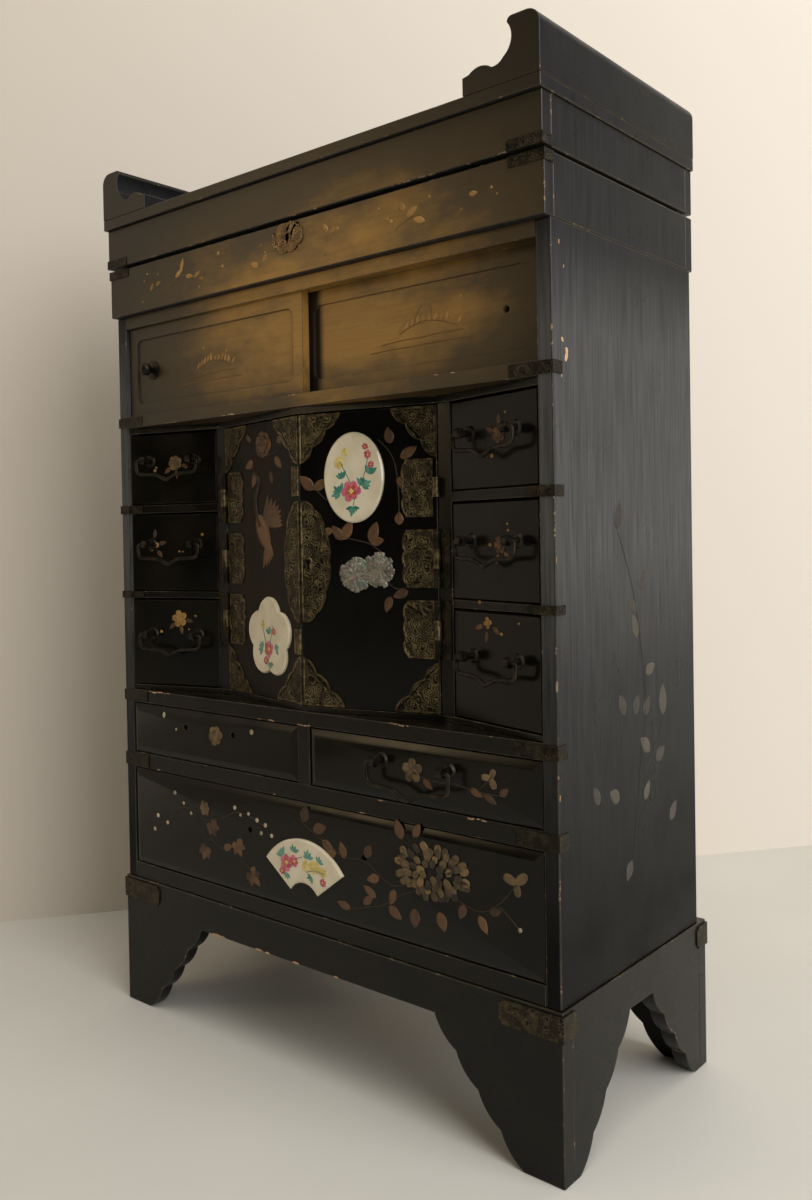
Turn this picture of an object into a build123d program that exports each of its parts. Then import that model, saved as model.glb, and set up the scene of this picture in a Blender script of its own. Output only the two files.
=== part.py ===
from build123d import *
import os
from math import atan2, cos, hypot, pi, sin, tan

# A small lacquered tansu chest, in millimetres. X runs across the front, Y goes from the
# front to the back and Z goes up. "Depth" is measured back from the front of the case.

# case boards
case_width = 375.0
case_depth = 167.0
side_thickness = 9.5
back_thickness = 8.0
bottom_thickness = 11.5
dust_board_thickness = 11.0
lower_shelf_thickness = 9.5
upper_shelf_thickness = 8.5
case_top_thickness = 9.0
divider_thickness = 10.5

# clear heights between the boards, from the bottom up
long_opening = 71.5
pair_opening = 37.5
bottom_row = 64.5
middle_row = 57.5
top_row = 53.0
slide_opening = 64.5

# the centre, whose front follows a zig-zag line
floor_thickness = 3.5
ceiling_thickness = 4.5
lower_rail_thickness = 5.0
upper_rail_thickness = 6.0
partition_inner = 94.5
partition_thickness = 9.5
partition_setback = 22.4
apex_setback = 0.6
outer_setback = 1.2

# plinth
plinth_height = 94.0
plinth_thickness = 10.0
plinth_overhang = 1.5
plinth_back_overhang = 9.0
foot_width = 25.5
side_foot_width = 16.5
slope_run = 60.0
side_slope_run = 58.0
arch_height = 70.5
arch_lobes = 4
lobe_rise = 2.2

# till and lid
till_height = 34.0
till_wall = 9.0
till_front_overhang = 5.5
till_back_overhang = 4.0
rim_width = 4.0
shadow_gap = 2.0
lid_frame_height = 28.0
lid_front_overhang = 7.0
top_board_thickness = 7.5
top_board_front_overhang = 10.0
top_board_back_overhang = 5.0
top_board_side_overhang = 1.2
scroll_width = 49.0
scroll_height = 33.5
curl_width = 20.0
cove_height = 10.5

# drawers
drawer_front_thickness = 11.0
drawer_wall = 5.5
drawer_bottom = 4.0
rim_drop = 6.0
drawer_side_gap = 0.6
drawer_top_gap = 0.9
seat_gap = 0.25
stop_gap = 0.6
field_proud = 1.0
bevel_width = 5.0
bevel_depth = 2.0
small_bevel = 1.0

# bails and their posts
small_post_spacing = 40.0
small_bail_width = 53.0
small_bail_drop = 14.5
wide_post_spacing = 50.0
wide_bail_width = 62.0
wide_bail_drop = 20.0
post_above_middle = 6.0
wire_radius = 1.3
post_reach = 8.0
stem_radius = 1.9
eye_radius = 3.0
eye_width = 4.0
rosette_radius = 4.6
rosette_thickness = 1.4
long_post_spacing = 102.0
long_post_rise = 9.5
hole_clearance = 0.05

# doors
door_thickness = 9.0
door_gap = 0.8
meeting_gap = 0.4
metal_thickness = 0.9
hinge_height = 35.0
leaf_wave = 0.4
hinge_reach = 24.0
post_leaf_reach = 8.6
knuckle_radius = 2.2
pin_radius = 0.9
running_clearance = 0.08
knuckle_clearance = 0.3
knuckle_play = 0.2
top_hinge_drop = 50.0
hinge_pitch = 42.5
corner_plate_width = 30.0
corner_plate_height = 31.0
cusp_rise = 2.15
lock_plate_width = 23.0
lock_plate_height = 81.0
lock_plate_middle = 92.0
strike_plate_width = 19.0
lock_case_width = 18.0
lock_case_height = 34.0
lock_case_thickness = 5.0
key_radius = 1.7
bead_width = 7.0
bead_inset = 1.5

# inlaid pieces
plaque_thickness = 2.2
plaque_edge = 1.0
oval_width = 42.0
oval_height = 56.0
oval_across = 40.0
oval_up = 144.0
blossom_width = 59.0
blossom_across = 39.0
blossom_up = 41.0
mum_width = 21.0
mum_up = 83.5
mum_step = 16.0
mum_rise = 3.0
mum_hinge_clearance = 6.5
mum_thickness = 0.8
fan_outer_radius = 43.0
fan_inner_radius = 15.0
fan_half_angle = 53.0
fan_pivot_up = 4.5

# sliding doors and their tracks
slide_thickness = 6.0
front_track_setback = 3.0
track_spacing = 7.4
track_clearance = 0.4
lower_track_depth = 2.0
upper_track_depth = 4.0
slide_overlap = 6.0
recess_depth = 1.4
recess_stile = 9.0
recess_radius = 5.0
knob_radius = 4.3
knob_reach = 11.0
knob_plate_radius = 7.0
knob_plate_thickness = 1.2
knob_neck_radius = 2.0
knob_inset = 26.0

# metal straps, corner plates, lid hinges and the till's lock
plinth_plate_length = 40.0
plinth_plate_return = 14.0
plinth_plate_height = 14.0
plinth_plate_drop = 2.0
rail_strap_length = 20.0
strap_return = 9.0
strap_height = 6.0
lid_strap_length = 22.0
board_strap_length = 27.0
board_strap_inset = 0.8
strap_thickness = 0.6
lid_hinge_length = 30.0
lid_hinge_reach = 14.0
lid_hinge_spacing = 220.0
escutcheon_width = 30.0
escutcheon_height = 21.0
escutcheon_drop = 10.0
till_lock_width = 30.0
till_lock_height = 20.0
till_lock_thickness = 6.0

# levels, from the floor up
case_bottom_z = plinth_height
long_floor_z = case_bottom_z + bottom_thickness
dust_z = long_floor_z + long_opening
pair_floor_z = dust_z + dust_board_thickness
lower_shelf_z = pair_floor_z + pair_opening
centre_floor_z = lower_shelf_z + lower_shelf_thickness
bottom_row_z = centre_floor_z + floor_thickness
lower_rail_z = bottom_row_z + bottom_row
middle_row_z = lower_rail_z + lower_rail_thickness
upper_rail_z = middle_row_z + middle_row
top_row_z = upper_rail_z + upper_rail_thickness
ceiling_z = top_row_z + top_row
upper_shelf_z = ceiling_z + ceiling_thickness
slide_z = upper_shelf_z + upper_shelf_thickness
case_top_z = slide_z + slide_opening
till_z = case_top_z + case_top_thickness
till_rim_z = till_z + till_height
lid_z = till_rim_z + shadow_gap
top_board_z = lid_z + lid_frame_height
scroll_z = top_board_z + top_board_thickness

# places across and in depth
half_width = case_width / 2
inner_half = half_width - side_thickness
inner_depth = case_depth - back_thickness
divider_half = divider_thickness / 2
partition_outer = partition_inner + partition_thickness
drawer_back = inner_depth - stop_gap
till_back = case_depth + till_back_overhang
hinge_drop = knuckle_radius + knuckle_clearance
door_angle = atan2(partition_setback - apex_setback, partition_inner)
rear_most = case_depth + plinth_back_overhang + metal_thickness
front_most = field_proud + post_reach + eye_radius
front_y = (front_most - rear_most) / 2

os.makedirs("parts", exist_ok=True)


def save(label, *pieces):
    solids = [solid for piece in pieces for solid in piece.solids()]
    node = solids[0] if len(solids) == 1 else Compound(children=solids)
    node.label = label
    export_step(node, f"parts/{label}.step")


def mirrored(piece):
    return mirror(piece, about=Plane.YZ)


# A board from its plan, a list of (across, depth) corners.
def plan_board(corners, low, high):
    with BuildPart() as board:
        with BuildSketch(Plane.XY.offset(low)):
            with BuildLine():
                Polyline([(across, front_y + depth) for across, depth in corners], close=True)
            make_face()
        extrude(amount=high - low)
    return board.part


def square_board(across, depth, low, high):
    left, right = across
    near, far = depth
    return plan_board([(left, near), (right, near), (right, far), (left, far)], low, high)


# The depth at a place across, on the line between two plan points.
def depth_on(line, across):
    (left, left_depth), (right, right_depth) = line
    return left_depth + (right_depth - left_depth) * (across - left) / (right - left)


# A plane on an upright face seen from the front: X runs along the line, Y goes up.
def face_plane(line, along, z):
    (left, left_depth), (right, right_depth) = line
    length = hypot(right - left, right_depth - left_depth)
    run = Vector((right - left) / length, (right_depth - left_depth) / length, 0)
    start = Vector(left, front_y + left_depth, z)
    return Plane(origin=start + run * along, x_dir=run, z_dir=(run.Y, -run.X, 0))


# Arcs in a row from start to end, each bulging to the right of the way.
def lobed_line(start, end, count, rise):
    step = (Vector(*end) - Vector(*start)) / count
    bulge = Vector(step.Y, -step.X).normalized() * rise
    for lobe in range(count):
        near = Vector(*start) + step * lobe
        ThreePointArc(near, near + step / 2 + bulge, near + step)


# A closed outline of lobes round an ellipse, or the half of it on the positive side of X.
def lobed_oval(width, height, count, rise, half=False):
    turn = pi if half else 2 * pi
    first = -pi / 2
    corners = []
    for corner in range(count + 1):
        angle = first + turn * corner / count
        corners.append(Vector(width / 2 * cos(angle), height / 2 * sin(angle)))
    for near, far in zip(corners, corners[1:]):
        middle = (near + far) / 2
        outward = Vector((far - near).Y, -(far - near).X).normalized()
        ThreePointArc(near, middle + outward * rise, far)
    if half:
        Line(corners[-1], corners[0])


# ---- plinth ----

# A foot-to-foot board, drawn in a plane whose X runs along it and whose Y goes up.
def arched_board(plane, length, left_foot, right_foot, run, thickness):
    left, right = left_foot, length - right_foot
    with BuildPart() as board:
        with BuildSketch(plane):
            with BuildLine():
                Polyline((left, 0), (0, 0), (0, plinth_height), (length, plinth_height),
                         (length, 0), (right, 0))
                lobed_line((right, 0), (right - run, arch_height), arch_lobes, -lobe_rise)
                Line((right - run, arch_height), (left + run, arch_height))
                lobed_line((left + run, arch_height), (left, 0), arch_lobes, -lobe_rise)
            make_face()
        extrude(amount=-thickness)
    return board.part


def plinth_boards():
    half = half_width + plinth_overhang
    near = front_y - plinth_overhang
    far = front_y + case_depth + plinth_back_overhang
    side_length = far - near - 2 * plinth_thickness
    front_plane = Plane(origin=(-half, near, 0), x_dir=(1, 0, 0), z_dir=(0, -1, 0))
    back_plane = Plane(origin=(half, far, 0), x_dir=(-1, 0, 0), z_dir=(0, 1, 0))
    side_plane = Plane(origin=(half, near + plinth_thickness, 0), x_dir=(0, 1, 0), z_dir=(1, 0, 0))
    front = arched_board(front_plane, 2 * half, foot_width, foot_width, slope_run,
                         plinth_thickness)
    back = arched_board(back_plane, 2 * half, foot_width, foot_width, slope_run,
                        plinth_thickness)
    foot = side_foot_width - plinth_thickness
    side = arched_board(side_plane, side_length, foot, foot, side_slope_run, plinth_thickness)
    return front, back, side, mirrored(side)


# A thin plate bent round an upright outer corner of the plinth, with notched ends.
def plinth_corner_plate(depth, toward):
    outer = half_width + plinth_overhang
    high = plinth_height - plinth_plate_drop
    low = high - plinth_plate_height
    notch = plinth_plate_height / 6
    end = outer - plinth_plate_length
    face_plane_y = front_y + depth
    with BuildPart() as plate:
        with BuildSketch(Plane(origin=(0, face_plane_y, 0), x_dir=(toward, 0, 0),
                               z_dir=(0, -toward, 0))):
            with Locations((toward * (end + outer) / 2, (low + high) / 2)):
                Rectangle(plinth_plate_length, plinth_plate_height)
            with Locations((toward * end, low), (toward * end, high)):
                Circle(notch, mode=Mode.SUBTRACT)
        extrude(amount=metal_thickness)
        with BuildSketch(Plane(origin=(outer, face_plane_y, 0), x_dir=(0, 1, 0),
                               z_dir=(1, 0, 0))):
            with Locations((toward * (plinth_plate_return - metal_thickness) / 2, (low + high) / 2)):
                Rectangle(plinth_plate_return + metal_thickness, plinth_plate_height)
            with Locations((toward * plinth_plate_return, low),
                           (toward * plinth_plate_return, high)):
                Circle(notch, mode=Mode.SUBTRACT)
        extrude(amount=metal_thickness)
    return plate.part


# ---- case ----

zig_zag = [(-inner_half, outer_setback), (-partition_outer, partition_setback),
           (-partition_inner, partition_setback), (0, apex_setback),
           (partition_inner, partition_setback), (partition_outer, partition_setback),
           (inner_half, outer_setback)]
right_slant = ((partition_outer, partition_setback), (inner_half, outer_setback))
left_slant = ((-inner_half, outer_setback), (-partition_outer, partition_setback))
door_line = ((0, apex_setback), (partition_inner, partition_setback))
straight_front = ((-inner_half, 0), (inner_half, 0))


def zig_zag_board(low, high):
    return plan_board(zig_zag + [(inner_half, inner_depth), (-inner_half, inner_depth)], low, high)


def small_shelf(low, high):
    return plan_board([*right_slant, (inner_half, inner_depth), (partition_outer, inner_depth)],
                      low, high)


def track_depths(track):
    near = front_track_setback + track * track_spacing
    return near, near + slide_thickness


def track_grooves(low, high):
    grooves = []
    for track in range(2):
        near, far = track_depths(track)
        sides = (near - track_clearance, far + track_clearance)
        grooves.append(square_board((-inner_half, inner_half), sides, low, high))
    return grooves


# A shelf with the two grooves that the sliding doors run in.
def grooved_board(low, high, groove_low, groove_high):
    with BuildPart() as board:
        add(square_board((-inner_half, inner_half), (0, inner_depth), low, high))
        for groove in track_grooves(groove_low, groove_high):
            add(groove, mode=Mode.SUBTRACT)
    return board.part


# ---- till, lid and top ----

# One wall of the till, with the narrow inner rim that the lid comes down on.
def till_wall_piece(across, depth, rim_across, rim_depth):
    with BuildPart() as wall:
        add(square_board(across, depth, till_z, till_rim_z))
        add(square_board(rim_across, rim_depth, till_rim_z, lid_z - seat_gap))
    return wall.part


def till_walls():
    near, far = -till_front_overhang, till_back
    inner_near, inner_far = near + till_wall, far - till_wall
    inside = half_width - till_wall
    front = till_wall_piece((-half_width, half_width), (near, inner_near),
                            (-inside, inside), (inner_near - rim_width, inner_near))
    back = till_wall_piece((-half_width, half_width), (inner_far, far),
                           (-inside, inside), (inner_far, inner_far + rim_width))
    side = till_wall_piece((inside, half_width), (inner_near, inner_far),
                           (inside, inside + rim_width), (inner_near, inner_far))
    return front, back, side, mirrored(side)


def lid_frame():
    near, far = -lid_front_overhang, till_back
    inner_near, inner_far = near + till_wall, far - till_wall
    inside = half_width - till_wall
    front = square_board((-half_width, half_width), (near, inner_near), lid_z, top_board_z)
    back = square_board((-half_width, half_width), (inner_far, far), lid_z, top_board_z)
    side = square_board((inside, half_width), (inner_near, inner_far), lid_z, top_board_z)
    return front, back, side, mirrored(side)


# The rolled end of the top: a curl over a cove and a low bead, the same all the way back.
def scroll_end():
    near = front_y - top_board_front_overhang
    length = case_depth + top_board_front_overhang + top_board_back_overhang
    outer = half_width + top_board_side_overhang
    shoulder = 8.0
    nose = 3.0
    bead_height = 2.6
    neck = 2.6
    lip = 0.8
    cove = scroll_width - curl_width
    bead_near, bead_top, bead_far = [curl_width + share * cove for share in (0.35, 0.6, 0.85)]
    with BuildPart() as scroll:
        with BuildSketch(Plane(origin=(outer, near, scroll_z), x_dir=(-1, 0, 0),
                               z_dir=(0, 1, 0))):
            with BuildLine():
                Line((0, 0), (0, scroll_height - shoulder))
                TangentArc((0, scroll_height - shoulder), (shoulder, scroll_height),
                           tangent=(0, 1))
                Line((shoulder, scroll_height), (curl_width - nose, scroll_height))
                TangentArc((curl_width - nose, scroll_height),
                           (curl_width, scroll_height - nose), tangent=(1, 0))
                ThreePointArc((curl_width, scroll_height - nose),
                              (curl_width - neck, (scroll_height + cove_height) / 2),
                              (curl_width + neck, cove_height + nose))
                ThreePointArc((curl_width + neck, cove_height + nose),
                              (curl_width + 2 * neck, cove_height + lip), (bead_near, cove_height))
                ThreePointArc((bead_near, cove_height), (bead_top, cove_height + bead_height),
                              (bead_far, cove_height))
                Polyline((bead_far, cove_height), (scroll_width, cove_height - lip),
                         (scroll_width, 0), (0, 0))
            make_face()
        extrude(amount=length)
    return scroll.part


# ---- hinges ----

# One leaf with its knuckles. The plane's origin lies on the pin's axis, its X runs along
# the pin, its Y away from it over the face, and its Z out of the face.
def hinge_leaf(axis, drop, length, reach, spans, pinned):
    clear = knuckle_radius + 2 * knuckle_clearance
    notch = reach / 8
    wave = notch * leaf_wave
    half = length / 2
    with BuildPart() as leaf:
        with BuildSketch(axis.offset(-drop)):
            with BuildLine():
                Polyline((-half + notch, reach - wave), (-half, reach - notch), (-half, clear),
                         (half, clear), (half, reach - notch), (half - notch, reach - wave))
                lobed_line((half - notch, reach - wave), (-half + notch, reach - wave), 3, wave)
            make_face()
            for near, far in spans:
                with Locations(((near + far) / 2, clear / 2)):
                    Rectangle(far - near, clear)
            with Locations((-length / 2, reach), (length / 2, reach)):
                Circle(notch, mode=Mode.SUBTRACT)
        extrude(amount=metal_thickness)
        for near, far in spans:
            with BuildSketch(Plane(origin=axis.from_local_coords((near, 0, 0)),
                                   z_dir=axis.x_dir)):
                Circle(knuckle_radius)
            extrude(amount=far - near)
        with BuildSketch(Plane(origin=axis.from_local_coords((-length / 2, 0, 0)),
                               z_dir=axis.x_dir)):
            Circle(pin_radius if pinned else pin_radius + running_clearance)
        extrude(amount=length, mode=Mode.ADD if pinned else Mode.SUBTRACT)
    return leaf.part


# The two outer knuckles go on the fixed leaf and the middle one on the moving leaf.
def knuckle_spans(length):
    third = length / 3
    outer = [(-length / 2, -third / 2 - knuckle_play), (third / 2 + knuckle_play, length / 2)]
    return outer, [(-third / 2, third / 2)]


door_pin = Vector(partition_inner, front_y + partition_setback - hinge_drop, 0)
door_run = Vector(cos(door_angle), sin(door_angle), 0)
door_out = Vector(sin(door_angle), -cos(door_angle), 0)
hinge_heights = [ceiling_z - top_hinge_drop - n * hinge_pitch for n in range(3)]


def door_leaf(z):
    axis = Plane(origin=door_pin + Vector(0, 0, z), x_dir=(0, 0, 1), z_dir=door_out)
    drop = hinge_drop * cos(door_angle)
    return hinge_leaf(axis, drop, hinge_height, hinge_reach, knuckle_spans(hinge_height)[1], False)


def post_leaf(z):
    axis = Plane(origin=door_pin + Vector(0, 0, z), x_dir=(0, 0, -1), z_dir=(0, -1, 0))
    outer = knuckle_spans(hinge_height)[0]
    return hinge_leaf(axis, hinge_drop, hinge_height, post_leaf_reach, outer, True)


lid_pin_y = front_y + till_back + hinge_drop
lid_pin_z = (till_rim_z + lid_z) / 2


def lid_hinge_leaves(moving):
    leaves = []
    for side in (-1, 1):
        origin = (side * lid_hinge_spacing / 2, lid_pin_y, lid_pin_z)
        axis = Plane(origin=origin, x_dir=(-1 if moving else 1, 0, 0), z_dir=(0, 1, 0))
        spans = knuckle_spans(lid_hinge_length)[1 if moving else 0]
        leaves.append(hinge_leaf(axis, hinge_drop, lid_hinge_length, lid_hinge_reach, spans,
                                 not moving))
    return leaves


# ---- doors, drawn for the right-hand side ----

door_low = bottom_row_z + seat_gap
door_high = ceiling_z - door_gap
door_end = (partition_inner - door_gap) / cos(door_angle)
door_start = meeting_gap / cos(door_angle)
door_hinge_along = partition_inner / cos(door_angle)


def door_panel():
    near, far = meeting_gap, partition_inner - door_gap
    through = door_thickness / cos(door_angle)
    near_depth, far_depth = depth_on(door_line, near), depth_on(door_line, far)
    return plan_board([(near, near_depth), (far, far_depth), (far, far_depth + through),
                       (near, near_depth + through)], door_low, door_high)


# A cusped plate in one corner of the door: the signs say which way its legs run.
def corner_plate(along, z, run, rise):
    with BuildPart() as plate:
        with BuildSketch(face_plane(door_line, along, z)):
            with BuildLine():
                across = (run * corner_plate_width, 0)
                upward = (0, rise * corner_plate_height)
                Line(upward, (0, 0))
                Line((0, 0), across)
                lobed_line(across, upward, 3, run * rise * cusp_rise)
            make_face()
        extrude(amount=metal_thickness)
    return plate.part


def corner_plates():
    inset = 0.3
    left, right = door_start + inset, door_end - inset
    low, high = door_low + inset, door_high - inset
    return [corner_plate(left, low, 1, 1), corner_plate(right, low, -1, 1),
            corner_plate(left, high, 1, -1), corner_plate(right, high, -1, -1)]


# Half a lobed oval against the meeting edge, with or without a keyhole.
def lock_plate(width, keyhole):
    key_inset = 5.4
    slot_length = 5.0
    scallop = 2.0
    with BuildPart() as plate:
        with BuildSketch(face_plane(door_line, door_start + 0.2, bottom_row_z + lock_plate_middle)):
            with BuildLine():
                lobed_oval(2 * (width - scallop), lock_plate_height - 2 * scallop, 6, scallop,
                           half=True)
            make_face()
            if keyhole:
                with Locations((key_inset, 0)):
                    Circle(key_radius, mode=Mode.SUBTRACT)
                with Locations((key_inset, -slot_length / 2)):
                    Rectangle(key_radius, slot_length, mode=Mode.SUBTRACT)
        extrude(amount=metal_thickness)
    return plate.part


# The lock's case behind the door, clear of the other door as this one swings.
def lock_case():
    behind = door_thickness * tan(door_angle)
    along = door_start + behind + 2 * meeting_gap + lock_case_thickness * tan(door_angle)
    plane = face_plane(door_line, along, bottom_row_z + lock_plate_middle).offset(-door_thickness)
    with BuildPart() as case:
        with BuildSketch(plane):
            with Locations((lock_case_width / 2, 0)):
                Rectangle(lock_case_width, lock_case_height)
        extrude(amount=-lock_case_thickness)
    return case.part


# The half-round bead down the left door's free edge, between its corner plates.
def meeting_bead():
    front_radius = bead_width / 5
    start = door_low + corner_plate_height + bead_inset
    height = (lock_plate_middle - lock_plate_height / 2) - corner_plate_height - 3 * bead_inset
    top_start = bottom_row_z + lock_plate_middle + lock_plate_height / 2 + bead_inset
    top_end = door_high - corner_plate_height - bead_inset
    beads = []
    for low, high in ((start, start + height), (top_start, top_end)):
        with BuildPart() as bead:
            along = door_start + bead_width / 2 + 0.3
            with BuildSketch(face_plane(door_line, along, (low + high) / 2)):
                Rectangle(bead_width, high - low)
            extrude(amount=bead_width / 4)
            front = bead.faces().sort_by(Axis((0, 0, 0), door_out))[-1]
            upright = front.edges().filter_by(Axis.Z)
            fillet(upright, radius=front_radius)
        beads.append(bead.part)
    return beads


def door_metalwork(present, plate_width, keyhole):
    leaves = [door_leaf(z) for z in hinge_heights[:present]]
    return [*corner_plates(), lock_plate(plate_width, keyhole), *leaves]


# A glazed plaque with a softened front edge, from the sketch of its back.
def plaque(outline, plane):
    with BuildPart() as plate:
        extrude(outline, amount=plaque_thickness, dir=plane.z_dir)
        front = plate.faces().sort_by(Axis(plane.origin, plane.z_dir))[-1]
        chamfer(front.edges(), length=plaque_edge)
    return plate.part


def oval_plaque():
    plane = face_plane(door_line, oval_across, bottom_row_z + oval_up)
    with BuildSketch(plane) as outline:
        Ellipse(oval_width / 2, oval_height / 2)
    return plaque(outline.sketch, plane)


def blossom_plaque():
    plane = face_plane(door_line, blossom_across, bottom_row_z + blossom_up)
    petal = blossom_width / 6.2
    core = blossom_width - 1.6 * petal
    with BuildSketch(plane) as outline:
        with BuildLine():
            lobed_oval(core, core, 5, petal)
        make_face()
    return plaque(outline.sketch, plane)


# Two overlapping chrysanthemum heads, the second one shorter where the first covers it.
def chrysanthemum_inlay():
    petals = 12
    petal_rise = 1.1
    hinge_side = door_hinge_along - hinge_reach - mum_hinge_clearance
    first_across = hinge_side - mum_width / 2 - mum_step
    flowers = []
    for flower in range(2):
        place = face_plane(door_line, first_across + flower * mum_step,
                           bottom_row_z + mum_up + mum_rise * flower)
        with BuildPart() as head:
            with BuildSketch(place):
                with BuildLine():
                    lobed_oval(mum_width - 2 * petal_rise, mum_width - 2 * petal_rise, petals,
                               petal_rise)
                make_face()
            extrude(amount=mum_thickness)
            if flowers:
                add(flowers[0], mode=Mode.SUBTRACT)
        flowers.append(head.part)
    return flowers


# ---- sliding doors ----

slide_width = inner_half + slide_overlap / 2 - track_clearance
slide_low = slide_z - lower_track_depth + seat_gap
slide_high = case_top_z + upper_track_depth - door_gap


def slide_panel(left, track):
    near, far = track_depths(track)
    field_height = slide_opening - 2 * recess_stile
    with BuildPart() as panel:
        add(square_board((left, left + slide_width), (near, far), slide_low, slide_high))
        with BuildSketch(Plane(origin=(left + slide_width / 2, front_y + near,
                                       slide_z + slide_opening / 2),
                               x_dir=(1, 0, 0), z_dir=(0, -1, 0))):
            RectangleRounded(slide_width - 2 * recess_stile, field_height, recess_radius)
        extrude(amount=-recess_depth, mode=Mode.SUBTRACT)
        hole = left + (knob_inset if track == 0 else slide_width - knob_inset)
        with BuildSketch(Plane(origin=(hole, front_y + near, slide_z + slide_opening / 2),
                               z_dir=(0, -1, 0))):
            Circle(knob_neck_radius + hole_clearance)
        extrude(amount=-slide_thickness, mode=Mode.SUBTRACT)
    return panel.part


# A ball on a round plate, turned about an axis that runs into the panel.
def slide_knob():
    seat = front_track_setback + recess_depth
    origin = (-inner_half + track_clearance + knob_inset, front_y + seat,
              slide_z + slide_opening / 2)
    ball = knob_reach - knob_radius
    with BuildPart() as knob:
        with BuildSketch(Plane(origin=origin, x_dir=(1, 0, 0), z_dir=(0, 0, 1))):
            with BuildLine():
                neck_meet = -ball + (knob_radius ** 2 - knob_neck_radius ** 2) ** 0.5
                Polyline((0, recess_depth), (knob_neck_radius, recess_depth),
                         (knob_neck_radius, 0), (knob_plate_radius, 0),
                         (knob_plate_radius, -knob_plate_thickness / 2),
                         (knob_neck_radius + 1, -knob_plate_thickness),
                         (knob_neck_radius, -knob_plate_thickness),
                         (knob_neck_radius, neck_meet))
                ThreePointArc((knob_neck_radius, neck_meet), (knob_radius, -ball),
                              (0, -ball - knob_radius))
                Line((0, -ball - knob_radius), (0, recess_depth))
            make_face()
        revolve(axis=Axis(origin, (0, 1, 0)))
    return knob.part


# ---- drawers ----

# front: the plan line of the front's face. The box runs back to the stop.
def drawer(front, low, high, bevel, posts):
    (left, left_depth), (right, right_depth) = front
    length = hypot(right - left, right_depth - left_depth)
    through = drawer_front_thickness * length / (right - left)
    behind = [(left, left_depth + through), (right, right_depth + through)]
    run_in = [depth_on(behind, left + drawer_wall), depth_on(behind, right - drawer_wall)]
    with BuildPart() as face_board:
        add(plan_board([*front, behind[1], behind[0]], low, high))
        outside = face_plane(front, length / 2, (low + high) / 2)
        face = face_board.faces().sort_by(Axis(outside.origin, outside.z_dir))[-1]
        chamfer(face.edges(), length=bevel[0], length2=bevel[1], reference=face)
        if posts:
            spacing, rise = posts
            with BuildSketch(outside):
                with Locations((-spacing / 2, rise), (spacing / 2, rise)):
                    Circle(stem_radius + hole_clearance)
            extrude(amount=-2 * drawer_front_thickness, mode=Mode.SUBTRACT)
    wall_low, wall_high = low + drawer_bottom, high - rim_drop
    base = plan_board([*behind, (right, drawer_back), (left, drawer_back)], low, wall_low)
    left_wall = plan_board([behind[0], (left + drawer_wall, run_in[0]),
                            (left + drawer_wall, drawer_back), (left, drawer_back)],
                           wall_low, wall_high)
    right_wall = plan_board([(right - drawer_wall, run_in[1]), behind[1],
                             (right, drawer_back), (right - drawer_wall, drawer_back)],
                            wall_low, wall_high)
    back_wall = square_board((left + drawer_wall, right - drawer_wall),
                             (drawer_back - drawer_wall, drawer_back), wall_low, wall_high)
    return face_board.part, base, left_wall, right_wall, back_wall


# Both posts of a bail: a stem through the drawer's front, a rosette and an eye.
def bail_posts(outside, spacing, rise):
    posts = []
    for side in (-1, 1):
        centre = outside.from_local_coords((side * spacing / 2, rise, 0))
        foot = Plane(origin=centre, x_dir=outside.x_dir, z_dir=outside.z_dir)
        eye_start = foot.from_local_coords((-eye_width / 2, 0, post_reach))
        with BuildPart() as post:
            with BuildSketch(foot.offset(-drawer_front_thickness)):
                Circle(stem_radius)
            extrude(amount=drawer_front_thickness + post_reach - eye_radius / 2)
            with BuildSketch(foot):
                Circle(rosette_radius)
            extrude(amount=rosette_thickness, taper=35)
            with BuildSketch(Plane(origin=eye_start, z_dir=outside.x_dir)):
                Circle(eye_radius)
            extrude(amount=eye_width)
            with BuildSketch(Plane(origin=eye_start, z_dir=outside.x_dir)):
                Circle(wire_radius + running_clearance)
            extrude(amount=eye_width, mode=Mode.SUBTRACT)
        posts.append(post.part)
    return posts


# A bail hanging from its posts: batwing ends, a shallow wave and a dip in the middle.
def bail(outside, spacing, rise, width, drop):
    hang = Plane(origin=outside.from_local_coords((0, rise, post_reach)),
                 x_dir=outside.x_dir, z_dir=outside.z_dir)
    inner_end = spacing / 2 - eye_width / 2 - wire_radius / 2
    half = width / 2
    wing = [(-inner_end, 0), (-half, 0), (-half + 1, -0.66 * drop), (-0.34 * half, -0.72 * drop)]
    points = wing + [(0, -drop)] + [(-along, up) for along, up in reversed(wing)]
    radii = [2.2, 4, 6, 3, 6, 4, 2.2]
    with BuildPart() as wire:
        with BuildLine(hang) as route:
            FilletPolyline(*points, radius=radii)
        with BuildSketch(Plane(origin=route.line @ 0, z_dir=route.line % 0)):
            Circle(wire_radius)
        sweep(path=route.line)
    return wire.part


# ---- straps, till lock and inlays ----

# A strap bent round the case's upright front corner at a rail's level, then along the rail.
def rail_strap(low, high):
    slant_run = rail_strap_length - side_thickness
    far = inner_half - slant_run
    far_depth = depth_on(right_slant, far)
    skin = strap_thickness
    corner = half_width + skin
    return plan_board([(far, far_depth), (inner_half, outer_setback), (inner_half, 0),
                       (half_width, 0), (half_width, strap_return), (corner, strap_return),
                       (corner, -skin), (inner_half - skin, -skin),
                       (inner_half - skin, outer_setback - skin), (far, far_depth - skin)],
                      low, high)


# A strap bent round a front corner, of the case or of what overhangs its front.
def corner_strap(overhang, length, low, high):
    skin = strap_thickness
    corner = half_width + skin
    far = half_width - length
    return plan_board([(far, -overhang), (half_width, -overhang),
                       (half_width, strap_return - overhang), (corner, strap_return - overhang),
                       (corner, -overhang - skin), (far, -overhang - skin)], low, high)


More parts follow.
